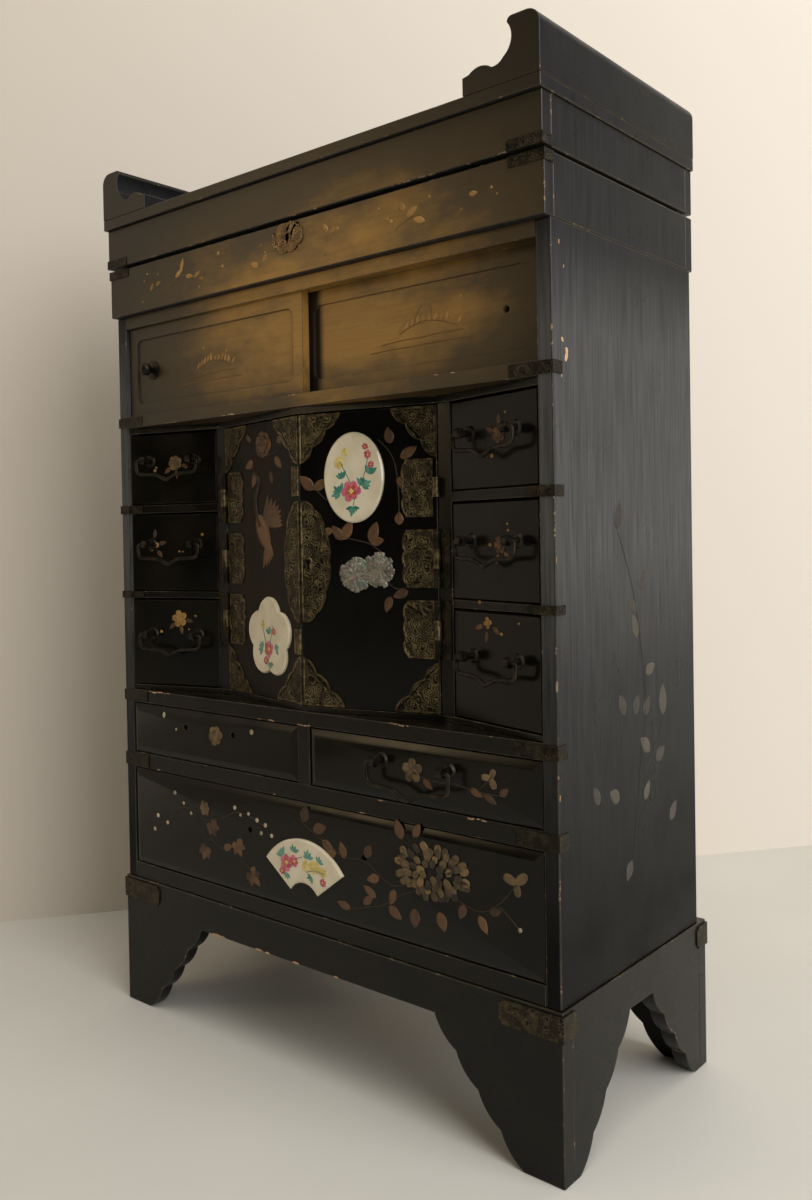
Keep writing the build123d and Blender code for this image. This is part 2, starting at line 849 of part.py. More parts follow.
def till_escutcheon():
    plane = Plane(origin=(0, front_y - till_front_overhang, till_rim_z - escutcheon_drop),
                  x_dir=(1, 0, 0), z_dir=(0, -1, 0))
    scallop = 2.0
    with BuildPart() as plate:
        with BuildSketch(plane):
            with BuildLine():
                lobed_oval(escutcheon_width - 2 * scallop, escutcheon_height - 2 * scallop, 8,
                           scallop)
            make_face()
            SlotOverall(3 * key_radius, 2 * key_radius, rotation=90, mode=Mode.SUBTRACT)
        extrude(amount=metal_thickness)
    return plate.part


def till_lock():
    inside = front_y - till_front_overhang + till_wall
    plane = Plane(origin=(0, inside, till_rim_z - till_lock_height / 2), x_dir=(1, 0, 0),
                  z_dir=(0, -1, 0))
    with BuildPart() as case:
        with BuildSketch(plane):
            Rectangle(till_lock_width, till_lock_height)
        extrude(amount=-till_lock_thickness)
    return case.part


def fan_plaque():
    plane = Plane(origin=(0, front_y - field_proud, long_floor_z + fan_pivot_up),
                  x_dir=(1, 0, 0), z_dir=(0, -1, 0))
    start, spread = 90 - fan_half_angle, 2 * fan_half_angle
    with BuildSketch(plane) as outline:
        with BuildLine():
            outer = CenterArc((0, 0), fan_outer_radius, start, spread)
            inner = CenterArc((0, 0), fan_inner_radius, start, spread)
            Line(outer @ 0, inner @ 0)
            Line(outer @ 1, inner @ 1)
        make_face()
    return plaque(outline.sketch, plane)


# ---- writing the pieces ----

def save_case():
    save("plinth_boards", *plinth_boards())
    front_plate = plinth_corner_plate(-plinth_overhang, 1)
    rear_plate = plinth_corner_plate(case_depth + plinth_back_overhang, -1)
    save("plinth_corner_plates", front_plate, mirrored(front_plate), rear_plate,
         mirrored(rear_plate))
    side = square_board((inner_half, half_width), (0, case_depth), case_bottom_z, till_z)
    save("case_side_right", side)
    save("case_side_left", mirrored(side))
    across = (-inner_half, inner_half)
    inner = (0, inner_depth)
    save("case_back", square_board(across, (inner_depth, case_depth), case_bottom_z, till_z))
    save("case_bottom", square_board(across, inner, case_bottom_z, long_floor_z))
    save("dust_board", square_board(across, inner, dust_z, pair_floor_z))
    save("pair_divider", square_board((-divider_half, divider_half), inner, pair_floor_z,
                                      lower_shelf_z))
    save("lower_shelf", square_board(across, inner, lower_shelf_z, centre_floor_z))
    save("centre_floor", zig_zag_board(centre_floor_z, bottom_row_z))
    save("centre_ceiling", zig_zag_board(ceiling_z, upper_shelf_z))
    partition = square_board((partition_inner, partition_outer), (partition_setback, inner_depth),
                             bottom_row_z, ceiling_z)
    save("partitions", partition, mirrored(partition))
    shelves = [small_shelf(lower_rail_z, middle_row_z), small_shelf(upper_rail_z, top_row_z)]
    save("small_shelves", *shelves, *[mirrored(shelf) for shelf in shelves])
    save("upper_shelf", grooved_board(upper_shelf_z, slide_z, slide_z - lower_track_depth,
                                      slide_z))
    save("case_top", grooved_board(case_top_z, till_z, case_top_z,
                                   case_top_z + upper_track_depth))
    save("till_walls", *till_walls())
    save("till_escutcheon", till_escutcheon())
    save("till_lock", till_lock())
    right_leaves = [post_leaf(z) for z in hinge_heights[1:]]
    left_leaves = [mirrored(post_leaf(z)) for z in hinge_heights]
    save("door_post_leaves", *right_leaves, *left_leaves)
    save("lid_hinge_case_leaves", *lid_hinge_leaves(False))
    straps = [rail_strap(lower_rail_z, middle_row_z), rail_strap(upper_rail_z, top_row_z),
              corner_strap(till_front_overhang, lid_strap_length, till_rim_z - strap_height,
                           till_rim_z)]
    for low, high in ((dust_z, pair_floor_z), (lower_shelf_z, centre_floor_z),
                      (upper_shelf_z, slide_z)):
        straps.append(corner_strap(0, board_strap_length, low + board_strap_inset,
                                   high - board_strap_inset))
    save("case_straps", *straps, *[mirrored(strap) for strap in straps])


def save_lid():
    save("lid_frame", *lid_frame())
    outer = half_width + top_board_side_overhang
    depth = (-top_board_front_overhang, case_depth + top_board_back_overhang)
    save("top_board", square_board((-outer, outer), depth, top_board_z, scroll_z))
    scroll = scroll_end()
    save("scroll_right", scroll)
    save("scroll_left", mirrored(scroll))
    strap = corner_strap(lid_front_overhang, lid_strap_length, lid_z, lid_z + strap_height)
    save("lid_metalwork", strap, mirrored(strap), *lid_hinge_leaves(True))


def save_doors():
    panel = door_panel()
    save("door_right_panel", panel)
    save("door_left_panel", mirrored(panel))
    save("door_right_metalwork", *door_metalwork(3, lock_plate_width, True), lock_case())
    left = [*door_metalwork(3, strike_plate_width, False), *meeting_bead()]
    save("door_left_metalwork", *[mirrored(piece) for piece in left])
    save("oval_plaque", oval_plaque())
    save("blossom_plaque", mirrored(blossom_plaque()))
    save("chrysanthemum_inlay", *chrysanthemum_inlay())
    save("slide_panel_left", slide_panel(-inner_half + track_clearance, 0))
    save("slide_panel_right", slide_panel(inner_half - track_clearance - slide_width, 1))
    save("slide_knob", slide_knob())


# A drawer with its posts and bail, seated in the opening between two plan points.
def save_drawer(name, opening, low, high, bevel, posts, handle):
    (left, left_depth), (right, right_depth) = opening
    near, far = left + drawer_side_gap, right - drawer_side_gap
    front = ((near, depth_on(opening, near)), (far, depth_on(opening, far)))
    if handle == "none" or handle == "wide":
        front = ((near, -field_proud), (far, -field_proud))
    bottom, top = low + seat_gap, high - drawer_top_gap
    save(name, *drawer(front, bottom, top, bevel, posts))
    if handle == "none":
        return
    length = hypot(far - near, front[1][1] - front[0][1])
    outside = face_plane(front, length / 2, (bottom + top) / 2)
    width, drop = {"small": (small_bail_width, small_bail_drop),
                   "wide": (wide_bail_width, wide_bail_drop)}[handle]
    save(name + "_posts", *bail_posts(outside, *posts))
    save(name + "_bail", bail(outside, *posts, width, drop))


def save_drawers():
    wide_bevel = (bevel_width, bevel_depth)
    slim_bevel = (small_bevel, small_bevel)
    save_drawer("long_drawer", straight_front, long_floor_z, dust_z, wide_bevel,
                (long_post_spacing, long_post_rise), "none")
    left_opening = ((-inner_half, 0), (-divider_half, 0))
    right_opening = ((divider_half, 0), (inner_half, 0))
    wide_posts = (wide_post_spacing, post_above_middle)
    save_drawer("pair_drawer_left", left_opening, pair_floor_z, lower_shelf_z, wide_bevel,
                wide_posts, "none")
    save_drawer("pair_drawer_right", right_opening, pair_floor_z, lower_shelf_z, wide_bevel,
                wide_posts, "wide")
    rows = {"top": (top_row_z, ceiling_z), "middle": (middle_row_z, upper_rail_z),
            "bottom": (bottom_row_z, lower_rail_z)}
    small_posts = (small_post_spacing, post_above_middle)
    for row, (low, high) in rows.items():
        for side, slant in (("left", left_slant), ("right", right_slant)):
            save_drawer(f"drawer_{side}_{row}", slant, low, high, slim_bevel, small_posts,
                        "small")
    save("fan_plaque", fan_plaque())


save_case()
save_lid()
save_doors()
save_drawers()
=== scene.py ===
import bpy
import bmesh
import random
from math import atan2, cos, sin, pi, radians, sqrt
from mathutils import Matrix, Vector


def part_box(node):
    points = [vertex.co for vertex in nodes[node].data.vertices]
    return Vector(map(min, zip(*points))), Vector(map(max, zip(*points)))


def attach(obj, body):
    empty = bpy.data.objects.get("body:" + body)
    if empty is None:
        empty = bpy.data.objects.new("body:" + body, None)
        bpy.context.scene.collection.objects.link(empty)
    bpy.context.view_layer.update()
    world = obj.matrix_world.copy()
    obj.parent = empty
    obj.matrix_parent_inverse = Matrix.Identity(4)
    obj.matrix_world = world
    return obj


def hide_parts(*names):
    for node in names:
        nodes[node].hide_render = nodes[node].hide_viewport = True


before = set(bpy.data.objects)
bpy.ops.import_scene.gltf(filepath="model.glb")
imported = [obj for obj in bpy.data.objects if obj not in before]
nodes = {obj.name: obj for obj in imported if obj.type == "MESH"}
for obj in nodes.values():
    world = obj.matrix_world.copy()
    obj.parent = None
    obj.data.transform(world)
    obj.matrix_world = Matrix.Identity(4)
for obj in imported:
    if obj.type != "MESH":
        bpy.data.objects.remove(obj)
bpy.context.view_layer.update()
mm = 0.001
up = Vector((0, 0, 1))
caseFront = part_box("case_side_right")[0].y
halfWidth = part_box("case_side_right")[1].x
print("frame loaded:", len(nodes), "nodes")


def linear(code):
    channels = [int(code[i:i + 2], 16) / 255 for i in (1, 3, 5)]
    return [c / 12.92 if c <= 0.04045 else ((c + 0.055) / 1.055) ** 2.4 for c in channels] + [1.0]


# Adds one node. A colour is an sRGB hex value, a grey in a ramp's stops is a plain number.
def addNode(tree, kind, inputs=None, stops=(), **settings):
    node = tree.nodes.new(kind)
    for name, value in settings.items():
        setattr(node, name, value)
    for socket, value in (inputs or {}).items():
        if isinstance(value, bpy.types.NodeSocket):
            tree.links.new(value, node.inputs[socket])
        elif isinstance(value, str) and value.startswith("#"):
            node.inputs[socket].default_value = linear(value)
        else:
            node.inputs[socket].default_value = value
    if stops:
        bar = node.color_ramp.elements
        while len(bar) < len(stops):
            bar.new(0.5)
        for element, (position, colour) in zip(bar, stops):
            element.position = position
            element.color = linear(colour) if isinstance(colour, str) else [colour] * 3 + [1]
    return node


def newMaterial(name):
    material = bpy.data.materials.new(name)
    material.use_nodes = True
    tree = material.node_tree
    shader = tree.nodes["Principled BSDF"]
    place = addNode(tree, "ShaderNodeTexCoord").outputs["Object"]
    return material, tree, shader, place


# Urushi: black lacquer rubbed flat on wood. Deep, glossy, with cloudy handling marks, dust
# and a faint grain telegraphing through.
# The bloom grey and the sheenAt heights are a painted sheen: a painted reflection of the window on
# the sides.
lacquer = {"roughness": (0.22, 0.42), "cloudSize": 38.0, "grainPitch": 1.6, "dustSize": 0.9,
    "bloom": "#5c5c5b", "topAt": 0.616,
    "sheenAt": [(0.2, 0.0), (0.42, 0.35), (0.55, 0.85), (0.74, 0.8), (0.82, 0.25), (1.0, 0.15)]}


def lacquerMaterial(name, body, cloud, grain, roughness=lacquer["roughness"], paintedSheen=False,
                    gloss=0.2):
    material, tree, shader, place = newMaterial(name)
    clouds = addNode(tree, "ShaderNodeTexNoise", {"Vector": place, "Detail": 6.0,
                                                  "Scale": 1 / (lacquer["cloudSize"] * mm)})
    grainScale = [1 / (lacquer["grainPitch"] * mm)] * 3
    grainScale["xyz".index(grain)] *= 0.035
    streaks = addNode(tree, "ShaderNodeTexNoise",
        {"Vector": addNode(tree, "ShaderNodeMapping",
        {"Vector": place, "Scale": grainScale}).outputs[0], "Scale": 1.0, "Detail": 4.0})
    dust = addNode(tree, "ShaderNodeTexVoronoi", {"Vector": place, "Randomness": 1.0,
                                                  "Scale": 1 / (9 * lacquer["dustSize"] * mm)})
    speck = addNode(tree, "ShaderNodeValToRGB", {"Fac": dust.outputs["Distance"]},
        [(0.0, 1.0), (0.035, 0.0)]).outputs[0]
    tone = addNode(tree, "ShaderNodeValToRGB", {"Fac": clouds.outputs["Fac"]},
        [(0.36, body), (0.68, cloud)]).outputs[0]
    lined = addNode(tree, "ShaderNodeMix",
        {0: 0.35, 6: tone, 7: addNode(tree, "ShaderNodeValToRGB", {"Fac": streaks.outputs["Fac"]},
        [(0.38, body), (0.72, cloud)]).outputs[0]}, data_type="RGBA").outputs[2]
    rubbed = addNode(tree, "ShaderNodeMath", {0: speck, 1: 0.35}, operation="MULTIPLY")
    colour = addNode(tree, "ShaderNodeMix", {0: rubbed.outputs[0], 6: lined, 7: "#4f4433"},
        data_type="RGBA").outputs[2]
    if paintedSheen:                      # a grey painted sheen, a painted reflection of the window light, laid on by height
        height = addNode(tree, "ShaderNodeSeparateXYZ", {"Vector": place}).outputs["Z"]
        level = addNode(tree, "ShaderNodeMath", {0: height, 1: 1 / lacquer["topAt"]},
                        operation="MULTIPLY").outputs[0]
        sheenByHeight = addNode(tree, "ShaderNodeValToRGB", {"Fac": level}, lacquer["sheenAt"]).outputs[0]
        sheenMask = addNode(tree, "ShaderNodeMath",
            {0: sheenByHeight, 1: addNode(tree, "ShaderNodeValToRGB", {"Fac": streaks.outputs["Fac"]},
            [(0.3, 0.55), (0.7, 1.0)]).outputs[0]}, operation="MULTIPLY")
        colour = addNode(tree, "ShaderNodeMix",
            {0: sheenMask.outputs[0], 6: colour, 7: lacquer["bloom"]}, data_type="RGBA").outputs[2]
    tree.links.new(colour, shader.inputs["Base Color"])
    low, high = roughness
    rough = addNode(tree, "ShaderNodeMapRange", {"Value": clouds.outputs["Fac"], "From Min": 0.35,
                                                 "From Max": 0.7, "To Min": low, "To Max": high})
    tree.links.new(rough.outputs[0], shader.inputs["Roughness"])
    shader.inputs["IOR"].default_value = 1.5
    shader.inputs["Specular IOR Level"].default_value = gloss
    tree.links.new(addNode(tree, "ShaderNodeBump",
        {"Height": streaks.outputs["Fac"], "Distance": 0.05 * mm, "Strength": 0.5}).outputs[0],
        shader.inputs["Normal"])
    return material


# The sides carry the painted sheen.
sideLacquer = lacquerMaterial("urushiSides", "#050506", "#0b0b0c", "z", (0.26, 0.46), True,
                              0.09)
railLacquer = lacquerMaterial("urushiRails", "#0d0c08", "#18150e", "x", (0.2, 0.36))
drawerLacquer = lacquerMaterial("urushiDrawerFronts", "#0b0a07", "#15120b", "x", (0.16, 0.3))
doorLacquer = lacquerMaterial("urushiDoors", "#060605", "#0d0c0a", "z", (0.16, 0.28))
# The left door gets a browner, less glossy lacquer than the right door.
leftDoorBrownLacquer = lacquerMaterial("urushiLeftDoorBrown", "#0e0b07", "#2a2015", "z", (0.3, 0.5),
                                 False, 0.09)


# Sun-faded urushi on the till, lid and sliding doors: the black has turned to a bronze brown. Over
# it lies a warm painted glow, a painted reflection of the warm lamp, warmest in the middle and
# still dark towards the ends.
faded = {"dark": "#252015", "middle": "#44361f", "warmGlow": "#9c7536", "centre": (25, 490),
         "reach": (135, 76)}


def fadedGlowMaterial(name, dark, middle, warmGlow, shadowFrom=None):
    material, tree, shader, place = newMaterial(name)
    (across, height), (wide, tall) = faded["centre"], faded["reach"]
    oval = addNode(tree, "ShaderNodeMapping",
        {"Vector": place, "Scale": (1 / (wide * mm), 0, 1 / (tall * mm)),
        "Location": (-across / wide, 0, -height / tall)}).outputs[0]
    apart = addNode(tree, "ShaderNodeVectorMath", {0: oval}, operation="LENGTH").outputs["Value"]
    # painted glow: the oval where the warm painted reflection lies, strongest in the middle
    glowOval = addNode(tree, "ShaderNodeMapRange", {"Value": apart, "From Max": 2.0, "To Min": 1.0,
                                                "To Max": 0.0},
                   interpolation_type="SMOOTHSTEP").outputs[0]
    clouds = addNode(tree, "ShaderNodeTexNoise",
        {"Vector": addNode(tree, "ShaderNodeMapping",
        {"Vector": place, "Scale": (12, 30, 24)}).outputs[0], "Scale": 1.0, "Detail": 6.0,
        "Roughness": 0.62})
    glowMask = addNode(tree, "ShaderNodeMath", {0: glowOval, 1: clouds.outputs["Fac"]},
                     operation="MULTIPLY").outputs[0]
    tone = addNode(tree, "ShaderNodeValToRGB", {"Fac": glowMask},
        [(0.04, dark), (0.26, middle), (0.5, warmGlow)]).outputs[0]
    streaks = addNode(tree, "ShaderNodeTexNoise",
        {"Vector": addNode(tree, "ShaderNodeMapping",
        {"Vector": place, "Scale": (30, 700, 700)}).outputs[0], "Scale": 1.0, "Detail": 3.0})
    colour = addNode(tree, "ShaderNodeMix",
        {0: addNode(tree, "ShaderNodeValToRGB", {"Fac": streaks.outputs["Fac"]},
        [(0.45, 0.0), (0.8, 0.22)]).outputs[0], 6: tone, 7: dark}, data_type="RGBA").outputs[2]
    if shadowFrom is not None:        # painted shadow: kept dark just beyond the edge of the other sliding door, which shades it
        across = addNode(tree, "ShaderNodeSeparateXYZ", {"Vector": place}).outputs["X"]
        paintedShadow = addNode(tree, "ShaderNodeMapRange", {
            "Value": across, "From Min": shadowFrom + 0.006, "From Max": shadowFrom + 0.012,
            "To Min": 0.95, "To Max": 0.0}, interpolation_type="SMOOTHSTEP").outputs[0]
        colour = addNode(tree, "ShaderNodeMix", {0: paintedShadow, 6: colour, 7: "#070604"},
            data_type="RGBA").outputs[2]
    tree.links.new(colour, shader.inputs["Base Color"])
    rough = addNode(tree, "ShaderNodeMapRange", {"Value": clouds.outputs["Fac"], "To Min": 0.3,
                                                 "To Max": 0.52}).outputs[0]
    tree.links.new(rough, shader.inputs["Roughness"])
    shader.inputs["Specular IOR Level"].default_value = 0.36
    tree.links.new(addNode(tree, "ShaderNodeBump",
        {"Height": streaks.outputs["Fac"], "Distance": 0.04 * mm, "Strength": 0.5}).outputs[0],
        shader.inputs["Normal"])
    return material


fadedGlowLacquer = fadedGlowMaterial("urushiFadedPaintedGlow", faded["dark"], faded["middle"], faded["warmGlow"])


# Edges where hands wore the lacquer through: brown undercoat, and here and there the pale
# gesso and wood below it.
edgeWear = {"brown": "#282015", "tan": "#7d6b50", "patch": 18.0, "chip": 2.6}


def wornMaterial(name, base, bareness):
    material, tree, shader, place = newMaterial(name)
    patches = addNode(tree, "ShaderNodeTexNoise", {"Vector": place, "Detail": 5.0,
                                                   "Scale": 1 / (edgeWear["patch"] * mm)})
    chips = addNode(tree, "ShaderNodeTexNoise", {"Vector": place, "Detail": 3.0,
                                                 "Scale": 1 / (edgeWear["chip"] * mm)})
    brown = addNode(tree, "ShaderNodeMix",
        {0: addNode(tree, "ShaderNodeValToRGB", {"Fac": patches.outputs["Fac"]},
        [(0.4, 0.0), (0.56, 1.0)]).outputs[0], 6: base, 7: edgeWear["brown"]},
        data_type="RGBA").outputs[2]
    low = 0.76 - 0.12 * bareness
    both = addNode(tree, "ShaderNodeMath", {0: patches.outputs["Fac"], 1: chips.outputs["Fac"]},
                   operation="ADD").outputs[0]
    half = addNode(tree, "ShaderNodeMath", {0: both, 1: 0.5}, operation="MULTIPLY").outputs[0]
    bare = addNode(tree, "ShaderNodeValToRGB", {"Fac": half},
        [(low - 0.1, 0.0), (low - 0.06, 1.0)]).outputs[0]
    tree.links.new(addNode(tree, "ShaderNodeMix", {0: bare, 6: brown, 7: edgeWear["tan"]},
        data_type="RGBA").outputs[2], shader.inputs["Base Color"])
    rough = addNode(tree, "ShaderNodeMapRange", {"Value": bare, "To Min": 0.36, "To Max": 0.75})
    tree.links.new(rough.outputs[0], shader.inputs["Roughness"])
    tree.links.new(addNode(tree, "ShaderNodeBump",
        {"Height": half, "Distance": 0.15 * mm, "Strength": 0.6}).outputs[0],
        shader.inputs["Normal"])
    return material


wornBlack = wornMaterial("urushiWornEdge", "#13110d", 0.6)
wornFaded = wornMaterial("urushiFadedEdge", "#2c2417", 0.6)


# Paulownia: the plain dry wood of drawer boxes and hidden boards, with fine straight grain.
def plainWood(name, grainScale, poreScale):
    material, tree, shader, place = newMaterial(name)
    rings = addNode(tree, "ShaderNodeTexNoise",
        {"Vector": addNode(tree, "ShaderNodeMapping",
        {"Vector": place, "Scale": grainScale}).outputs[0], "Scale": 1.0, "Detail": 5.0})
    pores = addNode(tree, "ShaderNodeTexNoise",
        {"Vector": addNode(tree, "ShaderNodeMapping",
        {"Vector": place, "Scale": poreScale}).outputs[0], "Scale": 1.0, "Detail": 2.0})
    tone = addNode(tree, "ShaderNodeValToRGB", {"Fac": rings.outputs["Fac"]},
        [(0.3, "#6f5537"), (0.5, "#8a6c48"), (0.7, "#7b5f3e")]).outputs[0]
    colour = addNode(tree, "ShaderNodeMix",
        {0: addNode(tree, "ShaderNodeValToRGB", {"Fac": pores.outputs["Fac"]},
        [(0.5, 0.0), (0.7, 0.45)]).outputs[0], 6: tone, 7: "#4a3722"}, data_type="RGBA").outputs[2]
    tree.links.new(colour, shader.inputs["Base Color"])
    shader.inputs["Roughness"].default_value = 0.72
    tree.links.new(addNode(tree, "ShaderNodeBump",
        {"Height": pores.outputs["Fac"], "Distance": 0.08 * mm, "Strength": 0.5}).outputs[0],
        shader.inputs["Normal"])
    return material


dryWood = plainWood("paulowniaPlaned", (160, 12, 420), (1500, 60, 1500))
backWood = plainWood("paulowniaBackBoards", (90, 90, 5), (900, 900, 40))


# Engraved brass, never cleaned: olive tarnish in the cut scrolls, bright only where rubbed.
brass = {"scroll": 5.5, "cut": 0.35}


def engravedBrass(name, scrollSize, twist, rubbed="#75684a", flat="#453c29", sunken="#16130c"):
    material, tree, shader, place = newMaterial(name)
    drift = addNode(tree, "ShaderNodeTexNoise", {"Vector": place, "Detail": 2.0,
                                                 "Scale": 1 / (scrollSize * 1.6 * mm)})
    pushed = addNode(tree, "ShaderNodeVectorMath", {0: drift.outputs["Color"],
                                                    1: (twist * mm,) * 3}, operation="MULTIPLY")
    bent = addNode(tree, "ShaderNodeVectorMath", {0: place, 1: pushed.outputs[0]},
                   operation="ADD").outputs[0]
    cells = addNode(tree, "ShaderNodeTexVoronoi", {"Vector": bent, "Scale": 1 / (scrollSize * mm)})
    rings = addNode(tree, "ShaderNodeMath", {0: cells.outputs["Distance"], 1: 26.0},
                    operation="MULTIPLY").outputs[0]
    curl = addNode(tree, "ShaderNodeMath", {0: rings}, operation="SINE").outputs[0]
    relief = addNode(tree, "ShaderNodeMapRange", {"Value": curl, "From Min": -0.9,
                                                  "From Max": 0.5}).outputs[0]
    tarnish = addNode(tree, "ShaderNodeTexNoise", {"Vector": place, "Scale": 1 / (6 * mm),
                                                   "Detail": 5.0})
    metal = addNode(tree, "ShaderNodeMix",
        {0: addNode(tree, "ShaderNodeValToRGB", {"Fac": tarnish.outputs["Fac"]},
        [(0.42, 0.0), (0.62, 1.0)]).outputs[0], 6: flat, 7: rubbed}, data_type="RGBA").outputs[2]
    tree.links.new(addNode(tree, "ShaderNodeMix", {0: relief, 6: sunken, 7: metal},
        data_type="RGBA").outputs[2], shader.inputs["Base Color"])
    shader.inputs["Metallic"].default_value = 0.85
    rough = addNode(tree, "ShaderNodeMapRange", {"Value": tarnish.outputs["Fac"], "To Min": 0.3,
                                                 "To Max": 0.58}).outputs[0]
    tree.links.new(rough, shader.inputs["Roughness"])
    tree.links.new(addNode(tree, "ShaderNodeBump",
        {"Height": relief, "Distance": brass["cut"] * mm, "Strength": 0.8}).outputs[0],
        shader.inputs["Normal"])
    return material


scrollBrass = engravedBrass("brassEngravedScrolls", brass["scroll"], 5.0)
strapBrass = engravedBrass("brassEngravedStraps", 3.2, 2.0, "#463e2d", "#26221a", "#12100b")
dullBrass = engravedBrass("brassEngravedDull", 3.2, 2.0, "#5b513a", "#332d20", "#15120c")
brightBrass = engravedBrass("brassEngravedRubbed", 3.0, 2.0, "#a98c63", "#7d6443", "#2b2115")


# Dark bronze and iron fittings: nearly black patina, browned where fingers lift them.
def darkMetal(name, body, worn, roughness):
    material, tree, shader, place = newMaterial(name)
    patina = addNode(tree, "ShaderNodeTexNoise", {"Vector": place, "Scale": 1 / (4 * mm),
                                                  "Detail": 6.0})
    tree.links.new(addNode(tree, "ShaderNodeValToRGB", {"Fac": patina.outputs["Fac"]},
        [(0.42, body), (0.66, worn)]).outputs[0], shader.inputs["Base Color"])
    shader.inputs["Metallic"].default_value = 0.8
    rough = addNode(tree, "ShaderNodeMapRange", {"Value": patina.outputs["Fac"],
                                                 "To Min": roughness - 0.12,
                                                 "To Max": roughness + 0.15}).outputs[0]
    tree.links.new(rough, shader.inputs["Roughness"])
    tree.links.new(addNode(tree, "ShaderNodeBump",
        {"Height": patina.outputs["Fac"], "Distance": 0.12 * mm, "Strength": 0.6}).outputs[0],
        shader.inputs["Normal"])
    return material


borderBrass = darkMetal("brassBorderRubbed", "#3d3523", "#7b6c4c", 0.4)
bailBronze = darkMetal("bronzeDarkPatina", "#1c1a16", "#3a3327", 0.4)
lockIron = darkMetal("ironForgedBlack", "#24211e", "#3d3832", 0.55)


# Porcelain, glazed: cream with age, wet gloss, a faint unevenness under the glaze.
def porcelainMaterial():
    material, tree, shader, place = newMaterial("porcelainGlazed")
    clouds = addNode(tree, "ShaderNodeTexNoise", {"Vector": place, "Scale": 1 / (16 * mm),
                                                  "Detail": 3.0})
    tree.links.new(addNode(tree, "ShaderNodeValToRGB", {"Fac": clouds.outputs["Fac"]},
        [(0.35, "#c8bd9f"), (0.65, "#dad0b6")]).outputs[0], shader.inputs["Base Color"])
    shader.inputs["Roughness"].default_value = 0.12
    shader.inputs["Coat Weight"].default_value = 0.6
    shader.inputs["Coat Roughness"].default_value = 0.05
    shader.inputs["Subsurface Weight"].default_value = 0.08
    shader.inputs["Subsurface Radius"].default_value = (0.001, 0.0008, 0.0006)
    tree.links.new(addNode(tree, "ShaderNodeBump",
        {"Height": clouds.outputs["Fac"], "Distance": 0.12 * mm, "Strength": 0.3}).outputs[0],
        shader.inputs["Normal"])
    return material


porcelain = porcelainMaterial()


# Raised ornament: one tone per petal or leaf, carried by the "tone" attribute.
def toned(name, dark, light, metallic, roughness, patch=2.5, coat=0.0):
    material, tree, shader, place = newMaterial(name)
    tone = addNode(tree, "ShaderNodeAttribute", attribute_name="tone").outputs["Fac"]
    stain = addNode(tree, "ShaderNodeTexNoise", {"Vector": place, "Scale": 1 / (patch * mm),
                                                 "Detail": 5.0}).outputs["Fac"]
    mixed = addNode(tree, "ShaderNodeMath", {0: tone, 1: stain}, operation="ADD").outputs[0]
    halved = addNode(tree, "ShaderNodeMath", {0: mixed, 1: 0.5}, operation="MULTIPLY").outputs[0]
    tree.links.new(addNode(tree, "ShaderNodeValToRGB", {"Fac": halved},
        [(0.25, dark), (0.72, light)]).outputs[0], shader.inputs["Base Color"])
    shader.inputs["Metallic"].default_value = metallic
    rough = addNode(tree, "ShaderNodeMapRange", {"Value": stain, "To Min": roughness - 0.08,
                                                 "To Max": roughness + 0.14}).outputs[0]
    tree.links.new(rough, shader.inputs["Roughness"])
    shader.inputs["Coat Weight"].default_value = coat
    tree.links.new(addNode(tree, "ShaderNodeBump",
        {"Height": stain, "Distance": 0.08 * mm, "Strength": 0.5}).outputs[0],
        shader.inputs["Normal"])
    return material


copperLeaf = toned("copperAlloyInlay", "#2a1d12", "#6a4a2c", 0.2, 0.45)      # chased, browned
hornFlower = toned("hornAndGoldInlay", "#231a0f", "#7a6440", 0.15, 0.42)       # amber, cloudy
goldPowder = toned("goldMakieWorn", "#7a5c2e", "#b08a50", 0.4, 0.5, 1.2)      # rubbed gold dust
dullGold = toned("goldMakieDull", "#2f271a", "#5d4a2c", 0.4, 0.5, 1.2)        # nearly worn off
ghostInlay = toned("shellInlayWornDull", "#2a2722", "#544d41", 0.0, 0.55)     # lost its colour
paleInlay = toned("boneInlay", "#75684f", "#b3a585", 0.0, 0.45)               # cream, dusty
bareGround = toned("gessoAndBareWood", "#8a6a4a", "#c8a27a", 0.0, 0.75, 1.0)  # under the lacquer
pinkEnamel = toned("enamelRose", "#9a2c48", "#cf6f82", 0.0, 0.14, 1.5, 0.5)
redEnamel = toned("enamelIronRed", "#8f2a2c", "#c65a4c", 0.0, 0.14, 1.5, 0.5)
greenEnamel = toned("enamelCopperGreen", "#1f6152", "#5f9a86", 0.0, 0.14, 1.5, 0.5)
yellowEnamel = toned("enamelYellow", "#b59a3c", "#e0cf80", 0.0, 0.14, 1.5, 0.5)


